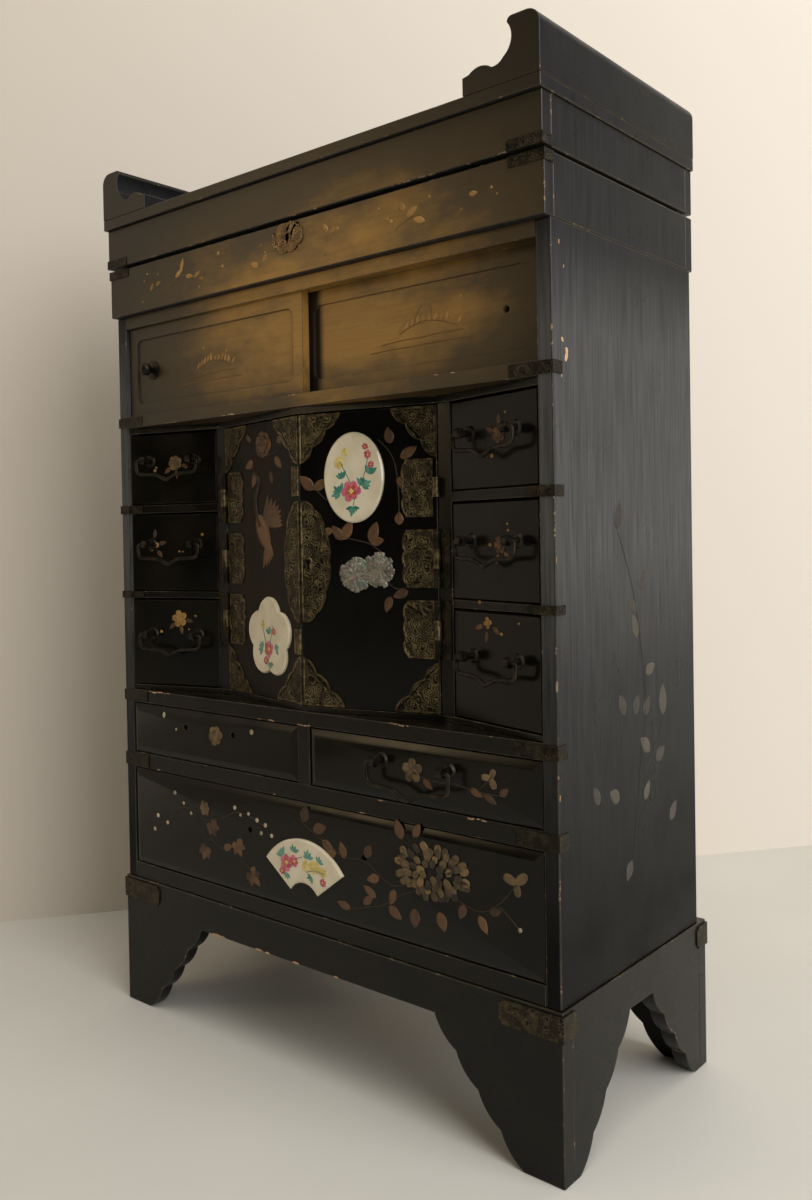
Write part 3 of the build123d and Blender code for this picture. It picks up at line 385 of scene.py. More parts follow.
# Carved mother-of-pearl: grey with pink and green lights in streaks that turn with the growth.
def shellMaterial():
    material, tree, shader, place = newMaterial("motherOfPearlCarved")
    growth = addNode(tree, "ShaderNodeTexNoise",
        {"Vector": addNode(tree, "ShaderNodeMapping",
        {"Vector": place, "Scale": (90, 90, 260)}).outputs[0], "Scale": 1.0, "Detail": 4.0,
        "Distortion": 1.2}).outputs["Fac"]
    nacre = addNode(tree, "ShaderNodeValToRGB", {"Fac": growth},
        [(0.3, "#5c564c"), (0.42, "#877a6c"), (0.5, "#9c9684"), (0.6, "#6c776a"),
        (0.72, "#7a7261")]).outputs[0]
    tone = addNode(tree, "ShaderNodeAttribute", attribute_name="tone").outputs["Fac"]
    shade = addNode(tree, "ShaderNodeValToRGB", {"Fac": tone}, [(0.0, 0.4), (1.0, 1.0)]).outputs[0]
    tree.links.new(addNode(tree, "ShaderNodeMix", {0: 1.0, 6: nacre, 7: shade}, data_type="RGBA",
        blend_type="MULTIPLY").outputs[2], shader.inputs["Base Color"])
    shader.inputs["Roughness"].default_value = 0.28
    shader.inputs["Metallic"].default_value = 0.25
    shader.inputs["Coat Weight"].default_value = 0.4
    tree.links.new(addNode(tree, "ShaderNodeBump",
        {"Height": growth, "Distance": 0.15 * mm, "Strength": 0.6}).outputs[0],
        shader.inputs["Normal"])
    return material


shell = shellMaterial()
print("materials made")


# The boards of one node touch, so each is parted from the others along its own closed skin.
def partSolids(work):
    bmesh.ops.remove_doubles(work, verts=work.verts, dist=0.002 * mm)
    work.faces.ensure_lookup_table()
    grouped, groups = set(), []
    for first in work.faces:
        if first in grouped:
            continue
        grouped.add(first)
        group, waiting = [], [first]
        while waiting:
            face = waiting.pop()
            group.append(face)
            for edge in face.edges:
                if len(edge.link_faces) == 2:
                    for other in edge.link_faces:
                        if other not in grouped:
                            grouped.add(other)
                            waiting.append(other)
        groups.append(group)
    for group in groups[1:]:
        bmesh.ops.split(work, geom=group)


# A board's copy is merged and its sharp edges get a narrow round that shows the wear.
def softened(node, body, flat, edge, width=0.8, inside=None, isInside=None):
    mesh = bpy.data.meshes.new(node + "Finished")
    work = bmesh.new()
    work.from_mesh(nodes[node].data)
    partSolids(work)
    bmesh.ops.dissolve_limit(work, angle_limit=radians(0.4), verts=work.verts, edges=work.edges)
    for face in work.faces:
        face.material_index = 2 if isInside and isInside(face) else 0
        face.smooth = True
    work.to_mesh(mesh)
    work.free()
    for layer in ("custom_normal", "sharp_edge", "sharp_face"):
        if layer in mesh.attributes:
            mesh.attributes.remove(mesh.attributes[layer])
    for material in (flat, edge, inside or dryWood):
        mesh.materials.append(material)
    piece = bpy.data.objects.new(node + "Finished", mesh)
    bpy.context.collection.objects.link(piece)
    bevel = piece.modifiers.new("softEdge", "BEVEL")
    bevel.width = width * mm
    bevel.segments = 2
    bevel.limit_method = "ANGLE"
    bevel.angle_limit = radians(28)
    bevel.material = 1
    bevel.harden_normals = True
    bevel.use_clamp_overlap = True
    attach(piece, body)
    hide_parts(node)
    return piece


def finish(name, material):
    nodes[name].data.materials.clear()
    nodes[name].data.materials.append(material)


for node in ("case_side_left", "case_side_right"):
    softened(node, "case", sideLacquer, wornBlack)
for node in ("dust_board", "lower_shelf", "pair_divider", "centre_floor", "partitions",
             "small_shelves", "case_bottom", "centre_ceiling"):
    softened(node, "case", railLacquer, wornBlack, 0.5)
softened("plinth_boards", "case", railLacquer, wornBlack, 0.7)
softened("upper_shelf", "case", fadedGlowLacquer, wornFaded, 0.4)
softened("case_top", "case", fadedGlowLacquer, wornFaded, 0.4)


# Only what faces the room has faded and takes the painted glow, so sides, tops and insides stay
# black.
def offFront(face):
    return face.normal.y > -0.7


for node, body in (("till_walls", "case"), ("lid_frame", "lid"), ("top_board", "lid"),
                   ("scroll_left", "lid"), ("scroll_right", "lid")):
    softened(node, body, fadedGlowLacquer, wornFaded, 0.8, sideLacquer, offFront)
softened("door_left_panel", "door_left", leftDoorBrownLacquer, wornBlack, 0.5)
softened("door_right_panel", "door_right", doorLacquer, wornBlack, 0.5)
softened("slide_panel_left", "slide_left", fadedGlowLacquer, wornFaded, 0.7)
# The right sliding door gets a painted shadow just past the end of the left door in front of it.
leftDoorEnd = max(vertex.co.x for vertex in nodes["slide_panel_left"].data.vertices)
fadedGlowShadowed = fadedGlowMaterial("urushiFadedPaintedGlowAndShadow", faded["dark"], faded["middle"],
                            faded["warmGlow"], leftDoorEnd)
softened("slide_panel_right", "slide_right", fadedGlowShadowed, wornFaded, 0.7)

# The zig-zag of the centre in plan: millimetres across from the middle, and back from the case's
# front, of the doors' meeting edge, the posts, and the canted drawers' inner and outer ends.
zigzag = {"meetBack": 0.6, "hingeAcross": 94.5, "postBack": 22.4, "innerAcross": 104,
          "outerAcross": 178, "outerBack": 1.2}

# Drawers: lacquered fronts, dry wood boxes behind them.
frontThickness = 11.2 * mm
for name in [n for n in nodes if "drawer" in n and not n.endswith(("_posts", "_bail"))]:
    low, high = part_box(name)

    def behindFront(face, low=low, high=high, name=name):
        centre = face.calc_center_median()
        if name in ("long_drawer", "pair_drawer_left", "pair_drawer_right"):
            return centre.y > low.y + frontThickness
        outward = (abs(centre.x) - zigzag["innerAcross"] * mm) / (
            (zigzag["outerAcross"] - zigzag["innerAcross"]) * mm)
        forward = (zigzag["postBack"] - zigzag["outerBack"]) * outward
        slant = caseFront + (zigzag["postBack"] - forward) * mm
        return centre.y > slant + frontThickness * 1.02

    softened(name, name, drawerLacquer, wornBlack, 0.6, dryWood, behindFront)

finish("case_back", backWood)
for node in ("case_straps", "lid_metalwork", "door_post_leaves"):
    finish(node, strapBrass)
finish("plinth_corner_plates", dullBrass)
finish("lid_hinge_case_leaves", bailBronze)
finish("slide_knob", bailBronze)
finish("till_lock", lockIron)
for node in ("oval_plaque", "blossom_plaque", "fan_plaque"):
    finish(node, porcelain)
for name in nodes:
    if name.endswith(("_posts", "_bail")):
        finish(name, bailBronze)
print("boards and fittings finished")


# Door plates: a plain raised border round a sunk field with the engraving.
plate = {"border": 0.9, "slope": 0.25, "sunk": 0.28, "least": 18.0}


def chasedPlates(node, body, border, field, outward):
    mesh = bpy.data.meshes.new(node + "Chased")
    work = bmesh.new()
    work.from_mesh(nodes[node].data)
    partSolids(work)
    bmesh.ops.dissolve_limit(work, angle_limit=radians(0.4), verts=work.verts, edges=work.edges)
    front = [face for face in work.faces if face.normal.dot(outward) > 0.995
             and face.calc_area() > plate["least"] * mm * mm]
    bmesh.ops.inset_region(work, faces=front, thickness=plate["border"] * mm, depth=0,
                           use_even_offset=True, use_boundary=True)
    bmesh.ops.inset_region(work, faces=front, thickness=plate["slope"] * mm,
                           depth=-plate["sunk"] * mm, use_even_offset=True, use_boundary=True)
    for face in front:
        face.material_index = 1
    work.to_mesh(mesh)
    work.free()
    mesh.materials.append(border)
    mesh.materials.append(field)
    piece = bpy.data.objects.new(node + "Chased", mesh)
    bpy.context.collection.objects.link(piece)
    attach(piece, body)
    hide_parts(node)


doorTurn = atan2(zigzag["postBack"] - zigzag["meetBack"], zigzag["hingeAcross"])
chasedPlates("door_right_metalwork", "door_right", borderBrass, scrollBrass,
             Vector((sin(doorTurn), -cos(doorTurn), 0)))
chasedPlates("door_left_metalwork", "door_left", borderBrass, scrollBrass,
             Vector((-sin(doorTurn), -cos(doorTurn), 0)))
chasedPlates("till_escutcheon", "case", brightBrass, brightBrass, Vector((0, -1, 0)))


def pane(start, end, drop=0.0):
    a = Vector((start[0] * mm, caseFront + start[1] * mm, 0))
    b = Vector((end[0] * mm, caseFront + end[1] * mm, 0))
    run = (b - a).normalized()
    out = run.cross(up)
    return {"origin": a + out * drop * mm, "run": run, "out": out}


def spot(where, along, height, lift=0.0):
    return (where["origin"] + where["run"] * along * mm + up * height * mm
            + where["out"] * lift * mm)


doorsMeet = (0, zigzag["meetBack"])
panes = {
    "doorRight": pane(doorsMeet, (zigzag["hingeAcross"], zigzag["postBack"])),
    "doorLeft": pane((-zigzag["hingeAcross"], zigzag["postBack"]), doorsMeet),
    "front": pane((0, 0), (1, 0)),
    "plinthFront": pane((0, -1.5), (1, -1.5)),
    "longDrawer": pane((0, -1), (1, -1)),
    "till": pane((0, -5.5), (1, -5.5)),
    "slideRight": pane((0, 11.8), (1, 11.8)),
    "slideLeft": pane((0, 4.4), (1, 4.4)),
    "drawersLeft": pane((-zigzag["outerAcross"], zigzag["outerBack"]),
                        (-zigzag["innerAcross"], zigzag["postBack"])),
    "drawersRight": pane((zigzag["innerAcross"], zigzag["postBack"]),
                         (zigzag["outerAcross"], zigzag["outerBack"])),
    "sideRight": {"origin": Vector((halfWidth, caseFront, 0)), "run": Vector((0, 1, 0)),
                  "out": Vector((1, 0, 0))},
}
doorRun = 96.98          # the door's length from its hinge side to its meeting edge


def reliefStamp(name, widths, heights, rows=9, base=0.12):
    mesh = bpy.data.meshes.new(name)
    work = bmesh.new()
    columns = (-1.0, -0.5, 0.0, 0.5, 1.0)
    top, bottom = [], []
    for row in range(rows + 1):
        t = row / rows
        top.append([work.verts.new((t, widths(t) * c / 2, heights(t, c))) for c in columns])
        bottom.append([work.verts.new((t, widths(t) * c / 2, -base)) for c in (-1.0, 1.0)])
    for row in range(rows):
        a, b = top[row], top[row + 1]
        for c in range(4):
            work.faces.new((a[c], b[c], b[c + 1], a[c + 1]))
        c, d = bottom[row], bottom[row + 1]
        work.faces.new((c[0], c[1], d[1], d[0]))
        work.faces.new((c[0], d[0], b[0], a[0]))
        work.faces.new((c[1], a[4], b[4], d[1]))
    work.faces.new((bottom[0][0], top[0][0], *top[0][1:], bottom[0][1]))
    work.faces.new((bottom[-1][1], *reversed(top[-1]), bottom[-1][0]))
    bmesh.ops.remove_doubles(work, verts=work.verts, dist=0.0005)
    bmesh.ops.dissolve_degenerate(work, edges=work.edges, dist=0.0005)
    bmesh.ops.recalc_face_normals(work, faces=work.faces)
    for face in work.faces:
        face.smooth = True
    work.to_mesh(mesh)
    work.free()
    stamp = bpy.data.objects.new(name, mesh)
    bpy.context.collection.objects.link(stamp)
    return stamp


def leafWidth(t):
    return sin(pi * t ** 0.8) ** 0.85 + 0.02


def petalWidth(t):
    return 0.25 + 0.75 * sin(pi * (0.12 + 0.72 * t)) if t < 0.97 else 0.35


def roundWidth(t):
    return sqrt(max(0.0, 1 - (2 * t - 1) ** 2))


stamps = {
    "leaf": reliefStamp("leafStamp", leafWidth, lambda t, c: (
        (0.25, 1.0, 0.45)[int(2 * (1 - abs(c)))] * (0.4 + 0.6 * sin(pi * t)))),
    "petal": reliefStamp("petalStamp", petalWidth, lambda t, c: (
        (0.9, 0.6, 0.35)[int(2 * (1 - abs(c)))] * (0.3 + 0.7 * t))),
    "slimPetal": reliefStamp("slimPetalStamp", lambda t: 0.5 + 0.5 * sin(pi * (0.1 + 0.55 * t)),
                             lambda t, c: ((0.3, 0.85, 1.0)[int(2 * (1 - abs(c)))]
                                           * (0.35 + 0.65 * sin(pi * (0.15 + 0.6 * t))))),
    "nail": reliefStamp("nailStamp", roundWidth, lambda t, c: (
        0.15 + 0.85 * sqrt(max(0.0, 1 - (2 * t - 1) ** 2)) * (1 - 0.6 * c * c))),
}


# The tree that sets a stamp on every point, turned and sized by the point's own attributes.
def stampTree():
    tree = bpy.data.node_groups.new("stampOnPoints", "GeometryNodeTree")
    face = tree.interface
    face.new_socket("Geometry", in_out="INPUT", socket_type="NodeSocketGeometry")
    face.new_socket("Stamp", in_out="INPUT", socket_type="NodeSocketObject")
    face.new_socket("Finish", in_out="INPUT", socket_type="NodeSocketMaterial")
    face.new_socket("Size variation", in_out="INPUT", socket_type="NodeSocketFloat")
    face.new_socket("Seed", in_out="INPUT", socket_type="NodeSocketInt")
    face.new_socket("Geometry", in_out="OUTPUT", socket_type="NodeSocketGeometry")
    given = addNode(tree, "NodeGroupInput")
    stamp = addNode(tree, "GeometryNodeObjectInfo", {"Object": given.outputs["Stamp"]})
    turned = addNode(tree, "GeometryNodeInputNamedAttribute", {"Name": "turned"},
                     data_type="FLOAT_VECTOR")
    size = addNode(tree, "GeometryNodeInputNamedAttribute", {"Name": "size"},
                   data_type="FLOAT_VECTOR")
    least = addNode(tree, "ShaderNodeMath", {0: 1.0, 1: given.outputs["Size variation"]},
                    operation="SUBTRACT")
    most = addNode(tree, "ShaderNodeMath", {0: 1.0, 1: given.outputs["Size variation"]},
                   operation="ADD")
    vary = addNode(tree, "FunctionNodeRandomValue", {"Seed": given.outputs["Seed"]},
                   data_type="FLOAT")
    tree.links.new(least.outputs[0], vary.inputs[2])
    tree.links.new(most.outputs[0], vary.inputs[3])
    scaled = addNode(tree, "ShaderNodeVectorMath", {0: size.outputs["Attribute"],
                                                    "Scale": vary.outputs[1]}, operation="SCALE")
    placed = addNode(tree, "GeometryNodeInstanceOnPoints", {
        "Points": given.outputs["Geometry"], "Instance": stamp.outputs["Geometry"],
        "Rotation": turned.outputs["Attribute"], "Scale": scaled.outputs[0]})
    solid = addNode(tree, "GeometryNodeRealizeInstances", {"Geometry": placed.outputs[0]})
    coated = addNode(tree, "GeometryNodeSetMaterial", {"Geometry": solid.outputs[0],
                                                       "Material": given.outputs["Finish"]})
    addNode(tree, "NodeGroupOutput", {"Geometry": coated.outputs[0]})
    return tree


stamping = stampTree()


def socketId(tree, name):
    return next(item.identifier for item in tree.interface.items_tree
                if item.name == name and item.in_out == "INPUT")


# marks: (pane, along, height, turn in degrees, length, width, thickness, tone), all in mm
def stamped(name, body, kind, finishMaterial, marks, variation=0.08, seed=3):
    mesh = bpy.data.meshes.new(name + "Points")
    mesh.from_pydata([spot(panes[m[0]], m[1], m[2], m[8] if len(m) > 8 else 0.0) for m in marks],
                     [], [])
    for layer, kindOf in (("turned", "FLOAT_VECTOR"), ("size", "FLOAT_VECTOR"), ("tone", "FLOAT")):
        mesh.attributes.new(layer, kindOf, "POINT")
    turned, size, tone = [mesh.attributes[layer].data for layer in ("turned", "size", "tone")]
    for index, mark in enumerate(marks):
        where, along, height, turn, length, width, thick, shade = mark[:8]
        face, angle = panes[where], radians(turn)
        ahead = face["run"] * cos(angle) + up * sin(angle)
        across = up * cos(angle) - face["run"] * sin(angle)
        axes = Matrix((ahead, across, face["out"])).transposed()
        turned[index].vector = Vector(axes.to_euler())
        size[index].vector = (length * mm, width * mm, thick * mm)
        tone[index].value = shade
    points = bpy.data.objects.new(name + "Points", mesh)
    bpy.context.collection.objects.link(points)
    modifier = points.modifiers.new("stamp", "NODES")
    modifier.node_group = stamping
    modifier[socketId(stamping, "Stamp")] = stamps[kind]
    modifier[socketId(stamping, "Finish")] = finishMaterial
    modifier[socketId(stamping, "Size variation")] = variation
    modifier[socketId(stamping, "Seed")] = seed
    done = bpy.data.meshes.new_from_object(points.evaluated_get(
        bpy.context.evaluated_depsgraph_get()))
    done.name = name
    bpy.data.objects.remove(points)
    piece = bpy.data.objects.new(name, done)
    bpy.context.collection.objects.link(piece)
    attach(piece, body)
    return piece


# A stem or vein: a round wire half sunk in the face, through (along, height) points.
def stems(name, body, material, runs, radius=0.4):
    curve = bpy.data.curves.new(name, "CURVE")
    curve.dimensions = "3D"
    curve.bevel_depth = radius * mm
    curve.bevel_resolution = 1
    curve.use_fill_caps = True
    curve.resolution_u = 8
    for where, path in runs:
        line = curve.splines.new("NURBS")
        line.points.add(len(path) - 1)
        for point, (along, height) in zip(line.points, path):
            point.co = (*spot(panes[where], along, height), 1)
        line.order_u = 3
        line.use_endpoint_u = True
    drawn = bpy.data.objects.new(name + "Line", curve)
    bpy.context.collection.objects.link(drawn)
    mesh = bpy.data.meshes.new_from_object(drawn.evaluated_get(
        bpy.context.evaluated_depsgraph_get()))
    bpy.data.objects.remove(drawn)
    mesh.materials.clear()
    mesh.materials.append(material)
    piece = bpy.data.objects.new(name, mesh)
    bpy.context.collection.objects.link(piece)
    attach(piece, body)
    return piece


chance = random.Random(11)


def rosette(where, along, height, petals, length, width, thick, start=0, lift=0.0, inner=0.0):
    marks = []
    for petal in range(petals):
        turn = start + 360 * petal / petals
        marks.append((where, along + inner * cos(radians(turn)),
            height + inner * sin(radians(turn)), turn, length, width, thick,
            chance.uniform(0.2, 0.9), lift))
    return marks


doorLeaves = {"thickness": 0.6, "right": [
    (10.5, 376, 140, 13, 7), (10.5, 376, 30, 12, 6), (31, 344, 60, 13, 7), (31, 344, 130, 11, 6),
    (50.6, 342, 70, 13, 7), (50.6, 342, 10, 10, 6), (65.5, 402, 100, 11, 7), (72, 393, 30, 12, 6),
    (69, 380, 340, 11, 7), (70.6, 352.5, 90, 8, 6), (76, 312.5, 200, 11, 6), (64, 309, 250, 11, 6),
    (55, 398, 150, 9, 5), (24, 350, 190, 9, 5)]}
stamped("doorRightLeaves", "door_right", "leaf", copperLeaf,
        [("doorRight", s, z, turn, long, wide, doorLeaves["thickness"], chance.uniform(0.2, 0.9))
         for s, z, turn, long, wide in doorLeaves["right"]])
stems("doorRightStems", "door_right", dullGold,
    [("doorRight", [(24, 349), (34, 345), (44, 343), (52, 341), (58, 336)]),
    ("doorRight", [(57, 405), (63, 400), (68, 392), (70, 381), (71, 362), (70, 354)]),
    ("doorRight", [(62, 318), (66, 313), (74, 313)]),
    ("doorRight", [(8, 380), (14, 374), (20, 369)])])

mum = {"layers": ((18, 10.2, 3.6, 0.0), (14, 7.6, 3.2, 0.35), (9, 4.8, 2.6, 0.7)), "thick": 1.1}
heads = []
for along, height in ((40, 322), (56, 325)):
    for petals, length, width, lift in mum["layers"]:
        heads += rosette("doorRight", along, height, petals, length, width, mum["thick"],
                         chance.uniform(0, 20), lift, 0.4)
mumPiece = stamped("chrysanthemumPetals", "door_right", "slimPetal", shell, heads, 0.1)
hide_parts("chrysanthemum_inlay")

# Left door: a peony spray above and a crane-like bird of feathers below it.
peony = rosette("doorLeft", doorRun - 44, 408, 7, 9, 8, 0.7) + \
    rosette("doorLeft", doorRun - 44, 408, 6, 5.5, 5, 0.8, 25, 0.4)
stamped("doorLeftPeony", "door_left", "petal", copperLeaf, peony, 0.12)
stamped("doorLeftLeaves", "door_left", "leaf", copperLeaf,
        [("doorLeft", doorRun - s, z, turn, long, wide, 0.6, chance.uniform(0.2, 0.9))
         for s, z, turn, long, wide in (
             (58, 398, 200, 11, 6), (54, 391, 240, 12, 6), (30, 399, 320, 11, 6),
             (27, 409, 20, 10, 6), (60, 412, 150, 9, 5), (36, 390, 290, 9, 5))])
wing = [(doorRun - 46 + 0.6 * n, 348 + 1.3 * n, 76 - 12 * n, 27 - 1.0 * n, 6.6, 0.6)
        for n in range(8)]
tail = [(doorRun - 41, 344, 252 + 13 * n, 19 - 1.5 * n, 4.6, 0.6) for n in range(5)]
body = [(doorRun - 54, 362, 302, 31, 15, 1.1)]
stamped("doorLeftBird", "door_left", "leaf", copperLeaf,
        [("doorLeft", s, z, turn, long, wide, thick, 0.35 + 0.05 * i)
         for i, (s, z, turn, long, wide, thick) in enumerate(wing + tail + body)], 0.04)
stems("doorLeftNeck", "door_left", copperLeaf,
    [("doorLeft", [(doorRun - 50, 354), (doorRun - 55, 363), (doorRun - 56, 373),
    (doorRun - 51, 380), (doorRun - 50, 387), (doorRun - 56, 390)])], 1.5)
stems("doorLeftStems", "door_left", dullGold,
    [("doorLeft", [(doorRun - 62, 416), (doorRun - 55, 408), (doorRun - 47, 404),
    (doorRun - 34, 400), (doorRun - 24, 404)]),
    ("doorLeft", [(doorRun - 58, 398), (doorRun - 60, 385), (doorRun - 64, 372)])])
print("doors dressed")


def paintedSpray(name, body, where, lift, blooms, leaves, twigs, paleBlooms):
    petals, inner, hearts, pale = [], [], [], []
    for along, height, size in paleBlooms:
        pale += rosette(where, along, height, 7, size, size * 0.7, 0.25, chance.uniform(0, 60),
            lift)
    stamped(name + "PaleBlooms", body, "petal", yellowEnamel, pale, 0.2)
    for along, height, size in blooms:
        petals += rosette(where, along, height, 6, size, size * 0.8, 0.25, chance.uniform(0, 60),
            lift)
        inner += rosette(where, along, height, 5, size * 0.62, size * 0.42, 0.3,
                         chance.uniform(0, 60), lift + 0.1)
        hearts += rosette(where, along, height, 4, size * 0.25, size * 0.22, 0.3, 0, lift + 0.2)
    stamped(name + "Petals", body, "petal", pinkEnamel, petals, 0.15)
    stamped(name + "Hearts", body, "petal", yellowEnamel, hearts, 0.1)
    stamped(name + "Inner", body, "petal", redEnamel, inner, 0.15)
    stamped(name + "Leaves", body, "leaf", greenEnamel,
            [(where, a, h, turn, long, long * 0.45, 0.2, chance.uniform(0.1, 0.9), lift)
             for a, h, turn, long in leaves], 0.1)
    faceAt = dict(panes[where])
    faceAt["origin"] = faceAt["origin"] + faceAt["out"] * lift * mm
    panes[name] = faceAt
    stems(name + "Twigs", body, greenEnamel, [(name, path) for path in twigs], 0.25)


def tuft(along, height, count, turn, spread, long):
    return [(along + 1.2 * cos(radians(turn)), height, turn + spread * (n / (count - 1) - 0.5),
             long * chance.uniform(0.8, 1.2)) for n in range(count)]


plaqueLift = 2.2
paintedSpray("ovalPainting", "door_right", "doorRight", plaqueLift,
    [(39, 374, 6.2), (51, 396, 2.6), (53, 390, 2.2), (49, 401, 2.0)],
    tuft(32, 373, 6, 150, 150, 5.5) + tuft(46, 377, 7, 50, 150, 6.0)
    + tuft(40, 364, 6, 270, 160, 5.0) + tuft(33, 382, 4, 110, 90, 5.5)
    + tuft(52, 384, 4, 80, 80, 5.5),
    [[(40, 364), (41, 370), (46, 379), (50, 388), (51, 397)], [(39, 378), (35, 386), (31, 393)]],
    [(31, 392, 3.4), (35, 398, 2.4)])
blossomAt = doorRun - 39
paintedSpray("blossomPainting", "door_left", "doorLeft", plaqueLift,
    [(blossomAt + 1, 272, 5.2), (blossomAt + 8, 284, 2.4), (blossomAt - 3, 264, 3.0)],
    tuft(blossomAt - 6, 272, 5, 160, 140, 5) + tuft(blossomAt + 8, 272, 5, 30, 130,
    5) + tuft(blossomAt + 1, 282, 4, 90, 100, 5.5) + tuft(blossomAt + 2, 263, 4, 280, 120, 4.5),
    [[(blossomAt, 262), (blossomAt + 2, 276), (blossomAt + 7, 288)],
    [(blossomAt - 2, 274), (blossomAt - 7, 284), (blossomAt - 6, 291)]],
    [(blossomAt - 6, 288, 2.4)])
paintedSpray("fanPainting", "long_drawer", "longDrawer", plaqueLift,
             [(-14, 136, 5.2), (-7, 138, 3.6), (-18, 130, 2.8), (18, 129, 2.6)],
             tuft(-17, 140, 4, 130, 100, 5) + tuft(-8, 144, 4, 80, 120, 5)
             + tuft(5, 142, 5, 90, 150, 5) + tuft(14, 141, 4, 60, 120, 4.5)
             + tuft(-13, 129, 4, 250, 110, 4) + tuft(9, 131, 4, 220, 110, 4),
             [[(-18, 132), (-10, 139), (0, 142)], [(4, 133), (12, 137), (19, 134)]],
             [(11, 137, 4.4), (18, 135, 3.2), (3, 137, 3.4)])
print("porcelain painted")


fieldAt = {"where": "longDrawer", "thick": 0.55}
vineLeaves = [
    (-1, 164, 70, 11, 7), (8, 160, 20, 12, 7), (16, 155, 330, 11, 6), (35, 147, 110, 10, 6),
    (52, 151, 60, 9, 6), (63, 141, 200, 11, 6), (75, 136, 250, 11, 6), (90, 128, 270, 11, 7),
    (108, 130, 290, 11, 7), (39, 117, 170, 11, 5), (50, 122, 40, 10, 5), (126, 138, 250, 10, 6),
    (136, 134, 300, 11, 6), (81, 167, 110, 12, 7), (90, 170, 60, 10, 6), (60, 128, 150, 11, 5),
    (28, 150, 200, 10, 6), (143, 137, 20, 9, 5), (70, 125, 330, 11, 6), (-78, 133, 20, 9, 5)]
for along, height, turn, long in ((-90, 147, 300, 9), (-97, 129, 250, 9), (-64, 138, 300, 9.5),
                                  (-50, 121, 320, 10)):     # maple leaves of five lobes
    for lobe in range(-2, 3):
        vineLeaves.append((along, height, turn + 50 * lobe, long * (1 - 0.17 * abs(lobe)), 5.2))
stamped("longDrawerLeaves", "long_drawer", "leaf", copperLeaf,
        [("longDrawer", s, z, turn, long, wide, fieldAt["thick"], chance.uniform(0.1, 0.9))
         for s, z, turn, long, wide in vineLeaves])
bunch = []
bloom = {"across": 103, "height": 152, "wide": 21, "tall": 11}
for share, petals, long in ((1.0, 24, 8.0), (0.78, 19, 7.5), (0.5, 13, 7.0), (0.24, 8, 6.0)):
    for petal in range(petals):
        turn = 360 * petal / petals + chance.uniform(-9, 9)
        bunch.append(("longDrawer", bloom["across"] + bloom["wide"] * share * cos(radians(turn)),
            bloom["height"] + bloom["tall"] * share * sin(radians(turn)),
            turn + chance.uniform(-40, 40), 0.8 * long * chance.uniform(0.8, 1.2), 4.4, 0.9,
            chance.choice((0.0, 0.25, 0.5, 1.0)), 0.7 * (1 - share)))
bunch += rosette("longDrawer", -97, 158, 6, 5, 4, 0.7)
bunch += rosette("longDrawer", 161, 157, 3, 8, 5, 0.8, 40)
stamped("longDrawerFlowers", "long_drawer", "petal", hornFlower, bunch, 0.12)
dots = [(-150, 144.5), (-139, 141), (-154, 134), (-130, 164), (-66, 163), (-60, 159), (-52, 161),
        (-44, 158), (-36, 156), (-40, 150), (163, 132), (-120, 158), (-112, 152), (-30, 150)]
stamped("longDrawerBerries", "long_drawer", "nail", paleInlay,
    [("longDrawer", s - 1.3, z, 0, 2.6, 2.6, 0.7, chance.uniform(0.2, 1.0)) for s, z in dots], 0.2)
stems("longDrawerStems", "long_drawer", dullGold, [
    ("longDrawer", [(-156, 136), (-140, 142), (-125, 155), (-108, 156), (-97, 150), (-92, 138),
                    (-80, 132), (-66, 134), (-54, 124), (-36, 118)]),
    ("longDrawer", [(-97, 150), (-80, 152), (-66, 161), (-50, 160), (-36, 155)]),
    ("longDrawer", [(-6, 166), (6, 160), (20, 153), (35, 147), (52, 150), (63, 142), (78, 136),
                    (92, 146)]),
    ("longDrawer", [(38, 116), (52, 121), (66, 124), (78, 134), (104, 144)]),
    ("longDrawer", [(104, 144), (124, 139), (136, 135), (150, 142), (161, 156)]),
    ("longDrawer", [(150, 142), (158, 136), (163, 132)])])

stamped("pairLeftFlower", "pair_drawer_left", "petal", hornFlower,
        rosette("longDrawer", -84, 210, 6, 6.5, 5.5, 0.8, 12)
        + rosette("longDrawer", -84, 210, 5, 3.5, 3, 0.9, 40, 0.3))
stamped("pairLeftDots", "pair_drawer_left", "nail", paleInlay,
    [("longDrawer", -141, 216.8, 80, 4.2, 2.6, 0.5, 0.8),
    ("longDrawer", -49.5, 216.5, 0, 3.6, 3.4, 0.5, 0.3),
    ("longDrawer", -128, 210, 0, 1.8, 1.8, 0.4, 0.5)])
stamped("pairRightFlower", "pair_drawer_right", "petal", hornFlower,
        rosette("longDrawer", 90, 209, 5, 7, 5.5, 0.7, 20)
        + rosette("longDrawer", 145, 212, 3, 6, 4, 0.7, 60))
stamped("pairRightLeaves", "pair_drawer_right", "leaf", copperLeaf,
    [("longDrawer", 131, 204, 340, 9, 4, 0.5, 0.6), ("longDrawer", 140, 203, 330, 10, 4, 0.5, 0.3),
    ("longDrawer", 98, 205, 320, 8, 4, 0.5, 0.7), ("longDrawer", 151, 203, 40, 7, 4, 0.5, 0.4)])
stems("pairRightStems", "pair_drawer_right", dullGold, [
    ("longDrawer", [(90, 208), (104, 204), (120, 206), (134, 203), (150, 203)]),
    ("longDrawer", [(136, 204), (142, 208), (146, 213)])])

